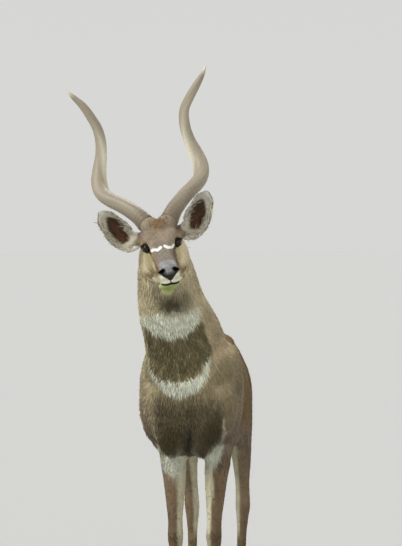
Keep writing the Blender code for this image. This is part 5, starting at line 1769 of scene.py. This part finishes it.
HORN_ROOT_SINK = 0.012
HORN_WEAR = 1.8                # how soon the wrinkles fade toward the tip
HORN_WRINKLE = 0.0006
WRINKLE_STEP = 0.019
HORN_FIBRE = 0.00030
HORN_FIBRES = 23
HORN_SHADE = 0.11
GRAIN_HALF = 0.03
KEEL_HIGHLIGHT_SPREAD = 0.62
PUPIL_HALF = (0.40, 0.20)      # of the eyeball's radius
CORNEA_DOME = 0.045
CORNEA_SPREAD = 0.55
CLAW_LINE = 0.010
CLAW_LINES = 34
CLAW_EDGE = 0.94
CLAW_LAP = 0.003               # how far a hoof half reaches under the hair


def plain_object(work, name):
    """An object with smooth shading."""
    ob = object_of(work, name)
    ob.data.shade_smooth()
    return ob


def ridge(turns, at, spread):
    """A rounded ridge along a tube, at an angle round it."""
    off = np.angle(np.exp(1j * (turns - at)))
    return np.exp(-(off / spread) ** 2)


def horn(side, name):
    """A horn with its winding keel and a painted highlight along it, the wrinkles of its lower half and a
    smooth worn tip.
    """
    rows = through(HORN, HORN_ROWS)
    low, high = HORN_SWAY_HEIGHTS
    rows[:, 0] += side * HORN_SWAY * soft(low, high, rows[:, 2])
    path, radius = rows[:, :3].copy(), rows[:, 3]
    ahead = unit(np.gradient(path, axis=0))
    across = np.cross(ahead[0], (0, 1, 0))
    turns = around(HORN_SIDES)
    far = np.r_[0, np.cumsum(np.linalg.norm(np.diff(path, axis=0), axis=1))]
    keel = HORN_KEEL * ridge(turns, 0, HORN_KEEL_SPREAD)
    back = HORN_BACK_RIDGE * ridge(turns, math.pi, HORN_BACK_SPREAD)
    rings, places, colours = [], [], []
    for i, (centre, way, r) in enumerate(zip(path, ahead, radius)):
        t = i / (HORN_ROWS - 1)
        across = unit(across - way * np.dot(across, way))
        other = np.cross(way, across)
        wind = HORN_TWIST_START + HORN_TWIST * t
        uneven = 2.4 * math.sin(far[i] * 23) + 0.8 * np.sin(turns + far[i] * 14)
        wave = far[i] * 2 * math.pi / WRINKLE_STEP + uneven
        worn = (1 - t) ** HORN_WEAR
        wrinkle = HORN_WRINKLE * np.sin(wave) * worn * (0.65 + 0.45 * np.cos(2 * turns + far[i] * 17))
        fibres = HORN_FIBRE * np.sin(turns * HORN_FIBRES + 3 * math.sin(far[i] * 9)) * (1 - 0.6 * t)
        size = r * (HORN_BODY + keel + back) + wrinkle + fibres
        ring = np.outer(size * np.cos(turns + wind), across) + np.outer(size * np.sin(turns + wind), other)
        rings.append(centre + ring)
        places.append(np.c_[np.cos(turns) * GRAIN_HALF, np.sin(turns) * GRAIN_HALF, far[i] + 0 * turns])
        tone = HORN_MIDDLE + (HORN_BASE - HORN_MIDDLE) * soft(0.16, 0.0, t)
        # Painted highlight along the keel
        on_keel = ridge(turns, 0, KEEL_HIGHLIGHT_SPREAD) * soft(0.02, 0.10, t) * soft(0.80, 0.45, t)
        ring_tone = mixed(plain(tone, turns), HORN_KEEL_HIGHLIGHT, 0.90 * on_keel)
        ring_tone = mixed(ring_tone, HORN_TIP, soft(0.90, 0.97, t) * np.ones(HORN_SIDES))
        dark = 0.5 - 0.5 * np.sin(wave)
        colours.append(ring_tone * (1 - HORN_SHADE * dark * worn)[:, None])
    rings[0] = rings[0] - ahead[0] * HORN_ROOT_SINK
    rings = [out_of(horn_frame(), r * (side, 1, 1)) for r in rings]
    work = bmesh.new()
    loft(work, rings)
    ob = plain_object(work, name)
    from_ring = order_of(points_of(ob), np.concatenate(rings))
    paint(ob.data, COLOUR_NAME, np.concatenate(colours)[from_ring])
    layer = ob.data.attributes.new("grain", "FLOAT_VECTOR", "POINT")
    layer.data.foreach_set("vector", np.concatenate(places)[from_ring].ravel())
    return ob


def order_of(points, known):
    """For each point, the index of the same point among the known ones."""
    def keys(co):
        return [tuple(row) for row in np.rint(co * 1e5).astype(int).tolist()]

    place = {key: i for i, key in enumerate(keys(known))}
    found = [place.get(key, -1) for key in keys(points)]
    for i, index in enumerate(found):
        if index < 0:
            found[i] = int(np.argmin(np.linalg.norm(known - points[i], axis=1)))
    return np.array(found)


def eye(side, name):
    """An eyeball with a slightly domed front, a dark brown iris and a wide pupil."""
    centre, way, along, up = eye_axes(side)
    work = bmesh.new()
    bmesh.ops.create_uvsphere(work, u_segments=EYE_SIDES, v_segments=EYE_BANDS, radius=EYE_RADIUS)
    turn = np.column_stack([along, up, way])
    ob = plain_object(work, name)
    co = points_of(ob)
    angle = np.arccos(np.clip(co[:, 2] / EYE_RADIUS, -1, 1))
    iris = mixed(plain(IRIS, co), IRIS_RIM, soft(0.50, 0.64, angle))
    iris = mixed(iris, EYE_WHITE, 0.7 * soft(0.95, 1.05, angle))
    pupil = np.hypot(co[:, 0] / EYE_RADIUS / PUPIL_HALF[0], co[:, 1] / EYE_RADIUS / PUPIL_HALF[1])
    iris = mixed(iris, PUPIL, soft(1.1, 0.9, pupil) * (co[:, 2] > 0))
    co = co * (1 + CORNEA_DOME * np.exp(-(angle / CORNEA_SPREAD) ** 4))[:, None]
    put_points(ob, out_of(head_frame(), co @ turn.T + centre))
    paint(ob.data, COLOUR_NAME, iris)
    return ob


def claw(foot_x, foot_y, side, outer, name):
    """One hoof half: flat on the ground, pointed in front, with fine growth lines."""
    turns = around(CLAW_SIDES)
    along = np.cos(turns)
    narrow = np.where(along < 0, 1 - 0.45 * np.abs(along) ** 2.2, 1.0)
    rings = []
    rows = through(CLAW_RINGS, CLAW_ROWS)
    for i, (height, size, toe, heel) in enumerate(rows):
        edge = i in (0, len(rows) - 1)
        size = size * (1 + CLAW_LINE * math.sin(height * CLAW_LINES)) * (CLAW_EDGE if edge else 1.0)
        x = side * CLAW_OUT * (1 if outer else -1) + CLAW_HALF_WIDTH * size * np.sin(turns) * narrow
        y = (heel - toe) / 2 + (heel + toe) / 2 * along * (0.97 if i == 0 else 1.0)
        top = CORONET_HEIGHT - CORONET_SLOPE * y + CLAW_LAP
        rings.append(np.c_[foot_x + x, foot_y + y, np.maximum(0, top * height)])
    work = bmesh.new()
    loft(work, rings)
    return plain_object(work, name)


# Materials

# Noises: scale, detail, stretch
HAIR_GRAIN = (260.0, 2.0, (1, 1, 1))
SKIN_GRAIN = (520.0, 3.0, (1.0, 0.45, 0.45))
HORN_GRAIN = (150.0, 4.0, (1, 1, 0.06))
HOOF_GRAIN = (60.0, 4.0, (1, 1, 5))
DRY_ROUGH = 0.82
MOIST_ROUGH = 0.36


def new_material(name, rough, **fixed):
    """A plain material with some values set, and the parts needed to add to it."""
    mat = bpy.data.materials.new(name)
    mat.use_nodes = True
    shader = mat.node_tree.nodes["Principled BSDF"]
    shader.inputs["Roughness"].default_value = rough
    for socket, value in fixed.items():
        shader.inputs[socket.replace("_", " ")].default_value = value
    return mat, mat.node_tree.nodes, mat.node_tree.links, shader


def reading(nodes, name):
    """Reads a value stored at the corners."""
    node = nodes.new("ShaderNodeAttribute")
    node.attribute_name = name
    return node


def grain(nodes, links, scale, detail, stretch, source=None):
    """A noise on the piece's own coordinates, or on a place stored at the corners."""
    place = nodes.new("ShaderNodeMapping")
    place.inputs["Scale"].default_value = stretch
    if source is None:
        source = nodes.new("ShaderNodeTexCoord").outputs["Object"]
    links.new(source, place.inputs["Vector"])
    noise = nodes.new("ShaderNodeTexNoise")
    noise.inputs["Scale"].default_value = scale
    noise.inputs["Detail"].default_value = detail
    links.new(place.outputs["Vector"], noise.inputs["Vector"])
    return noise.outputs["Fac"]


def spread(nodes, links, factor, low, high):
    """A value from 0 to 1 stretched to another range."""
    node = nodes.new("ShaderNodeMapRange")
    node.inputs["To Min"].default_value = low
    node.inputs["To Max"].default_value = high
    links.new(factor, node.inputs["Value"])
    return node.outputs["Result"]


def multiplied(nodes, links, colour, factor, low, high):
    """A colour made darker and lighter by a noise."""
    scale = nodes.new("ShaderNodeVectorMath")
    scale.operation = "SCALE"
    links.new(colour, scale.inputs[0])
    links.new(spread(nodes, links, factor, low, high), scale.inputs["Scale"])
    return scale.outputs["Vector"]


def fade(nodes, links, factor, *ends):
    """A fade between two colours, each given with its place."""
    node = nodes.new("ShaderNodeValToRGB")
    for element, (colour, place) in zip(node.color_ramp.elements, ends):
        element.color = colour
        element.position = place
    links.new(factor, node.inputs["Fac"])
    return node.outputs["Color"]


def bump(nodes, links, shader, height, strength, distance):
    """Makes a noise stand out as fine relief."""
    node = nodes.new("ShaderNodeBump")
    node.inputs["Strength"].default_value = strength
    node.inputs["Distance"].default_value = distance
    links.new(height, node.inputs["Height"])
    links.new(node.outputs["Normal"], shader.inputs["Normal"])


def coat_material():
    """Dull hair."""
    mat, nodes, links, shader = new_material("hair", 0.70, Specular_IOR_Level=0.16)
    colour = reading(nodes, COLOUR_NAME).outputs["Color"]
    mottle = grain(nodes, links, *HAIR_GRAIN)
    links.new(multiplied(nodes, links, colour, mottle, 0.80, 1.20), shader.inputs["Base Color"])
    return mat


def skin_material():
    """Short hair close to the skin, and moist where it is bare."""
    mat, nodes, links, shader = new_material("skin_under_the_coat", 0.8, Specular_IOR_Level=0.18)
    colour = reading(nodes, COLOUR_NAME).outputs["Color"]
    hairs = grain(nodes, links, *SKIN_GRAIN)
    links.new(multiplied(nodes, links, colour, hairs, 0.70, 1.20), shader.inputs["Base Color"])
    bare = reading(nodes, BARE_NAME).outputs["Fac"]
    links.new(spread(nodes, links, bare, DRY_ROUGH, MOIST_ROUGH), shader.inputs["Roughness"])
    bump(nodes, links, shader, hairs, 0.5, 0.0012)
    return mat


def horn_material():
    """Horn with fine streaks along it."""
    mat, nodes, links, shader = new_material("horn_keratin", 0.48, Specular_IOR_Level=0.45)
    colour = reading(nodes, COLOUR_NAME).outputs["Color"]
    along = reading(nodes, "grain").outputs["Vector"]
    streaks = grain(nodes, links, *HORN_GRAIN, along)
    links.new(multiplied(nodes, links, colour, streaks, 0.72, 1.22), shader.inputs["Base Color"])
    bump(nodes, links, shader, streaks, 0.6, 0.0006)
    return mat


def eye_material():
    """Smooth and wet."""
    mat, nodes, links, shader = new_material("eye_wet", 0.12, Specular_IOR_Level=0.30)
    links.new(reading(nodes, COLOUR_NAME).outputs["Color"], shader.inputs["Base Color"])
    return mat


def hoof_material():
    """Dark hoof horn with fine level lines."""
    mat, nodes, links, shader = new_material("hoof_keratin", 0.42, Specular_IOR_Level=0.45)
    lines = grain(nodes, links, *HOOF_GRAIN)
    tone = fade(nodes, links, lines, ((*HOOF_DARK, 1), 0.35), ((*HOOF_PALE, 1), 0.75))
    links.new(tone, shader.inputs["Base Color"])
    bump(nodes, links, shader, lines, 0.4, 0.0005)
    return mat


def floor_material():
    """Pale and matt."""
    mat, _, _, shader = new_material("pale_floor", 0.9)
    shader.inputs["Base Color"].default_value = FLOOR_GREY
    return mat


# The stage

def make_floor():
    """A wide round floor."""
    work = bmesh.new()
    bmesh.ops.create_circle(work, cap_ends=True, segments=64, radius=FLOOR_RADIUS)
    floor = object_of(work, "floor")
    if floor.data.polygons[0].normal.z < 0:
        floor.data.flip_normals()
    floor.data.materials.append(floor_material())


def make_light():
    """A pale sky and the distant lights."""
    world = bpy.data.worlds.new("studio")
    bpy.context.scene.world = world
    world.use_nodes = True
    nodes, links = world.node_tree.nodes, world.node_tree.links
    sky = nodes["Background"]
    way = nodes.new("ShaderNodeSeparateXYZ")
    links.new(nodes.new("ShaderNodeTexCoord").outputs["Generated"], way.inputs["Vector"])
    tone = fade(nodes, links, way.outputs["Z"], (SKY_LOW, 0.02), (SKY_HIGH, 0.60))
    links.new(tone, sky.inputs["Color"])
    for name, place, width, strength in LIGHTS:
        light = bpy.data.lights.new(name, "SUN")
        light.angle = width
        light.energy = strength
        ob = placed(name, light)
        ob.location = place
        ob.rotation_euler = (-Vector(place)).to_track_quat("-Z", "Y").to_euler()


def make_camera(shift):
    """A long lens almost straight in front."""
    across, height = VIEW_CENTRE
    centre = Vector((across * math.cos(VIEW_TURN), across * math.sin(VIEW_TURN), height)) + shift
    back = Vector((math.sin(VIEW_TURN) * math.cos(VIEW_RISE), -math.cos(VIEW_TURN) * math.cos(VIEW_RISE),
                   math.sin(VIEW_RISE)))
    camera = placed("camera", bpy.data.cameras.new("camera"))
    camera.data.sensor_fit = "AUTO"
    camera.data.sensor_width = SENSOR
    camera.data.lens = SENSOR * VIEW_DISTANCE / VIEW_HEIGHT
    camera.data.clip_end = 300
    camera.location = centre + back * VIEW_DISTANCE
    camera.rotation_euler = (-back).to_track_quat("-Z", "Y").to_euler()
    bpy.context.scene.camera = camera


def main():
    """Builds all pieces, places them on the solids and lights the stage."""
    eye_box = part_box("eye_left")
    own = out_of(head_frame(), np.array([eye_axes(1)[0]]))[0]
    shift = (eye_box[0] + eye_box[1]) / 2 - Vector(own)
    skin_ob = build_skin()
    co = points_of(skin_ob)
    put_points(skin_ob, co - normals_of(skin_ob) * coat_depth(co)[:, None])
    reworked(skin_ob, triangulated)
    co, normals = points_of(skin_ob), normals_of(skin_ob)
    colours, bare = coat_colours(co, normals)
    paint(skin_ob.data, COLOUR_NAME, colours)
    paint(skin_ob.data, BARE_NAME, bare)
    skin_ob.data.shade_smooth()
    skin = {"points": co, "normals": normals, "tris": corners_of(skin_ob), "bare": bare}
    print("skin triangles", len(skin["tris"]))
    coats = grow_coat(skin, unwrap(skin_ob))
    print("coat triangles", {ob.name: len(ob.data.polygons) for ob in coats})
    hair, hide = coat_material(), skin_material()
    skin_ob.data.materials.clear()
    skin_ob.data.materials.append(hide)
    for ob in coats:
        ob.data.materials.append(hair)
    flesh = ["torso", "neck", "head", "tail", "ear_left", "ear_right", *STEPS]
    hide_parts(*flesh)
    whole = [(skin_ob, "coat")] + [(ob, "coat") for ob in coats]
    keratin, wet, horny = horn_material(), eye_material(), hoof_material()
    for side, word in ((1, "left"), (-1, "right")):
        pair = ((horn(side, f"{word}_horn"), f"horn_{word}", keratin, "horn"),
                (eye(side, f"{word}_eye"), f"eye_{word}", wet, "eye"))
        for ob, node, mat, slot in pair:
            ob.data.materials.append(mat)
            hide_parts(node)
            whole.append((ob, slot))
    for name in STEPS:
        x, y = foot_place(name)
        side = 1 if name.endswith("left") else -1
        place = name.replace("leg", "")
        for outer, word in ((True, "outer"), (False, "inner")):
            ob = claw(x, y, side, outer, f"claw_{place}_{word}")
            ob.data.materials.append(horny)
            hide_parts(f"hoof_{place}_{word}")
            whole.append((ob, "hoof"))
    for ob, slot in whole:
        ob.data.transform(Matrix.Translation(shift))
        ob.data.update()
        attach(ob, "root")
    make_floor()
    make_light()
    make_camera(shift)
    bpy.context.scene.view_settings.view_transform = "Standard"


main()
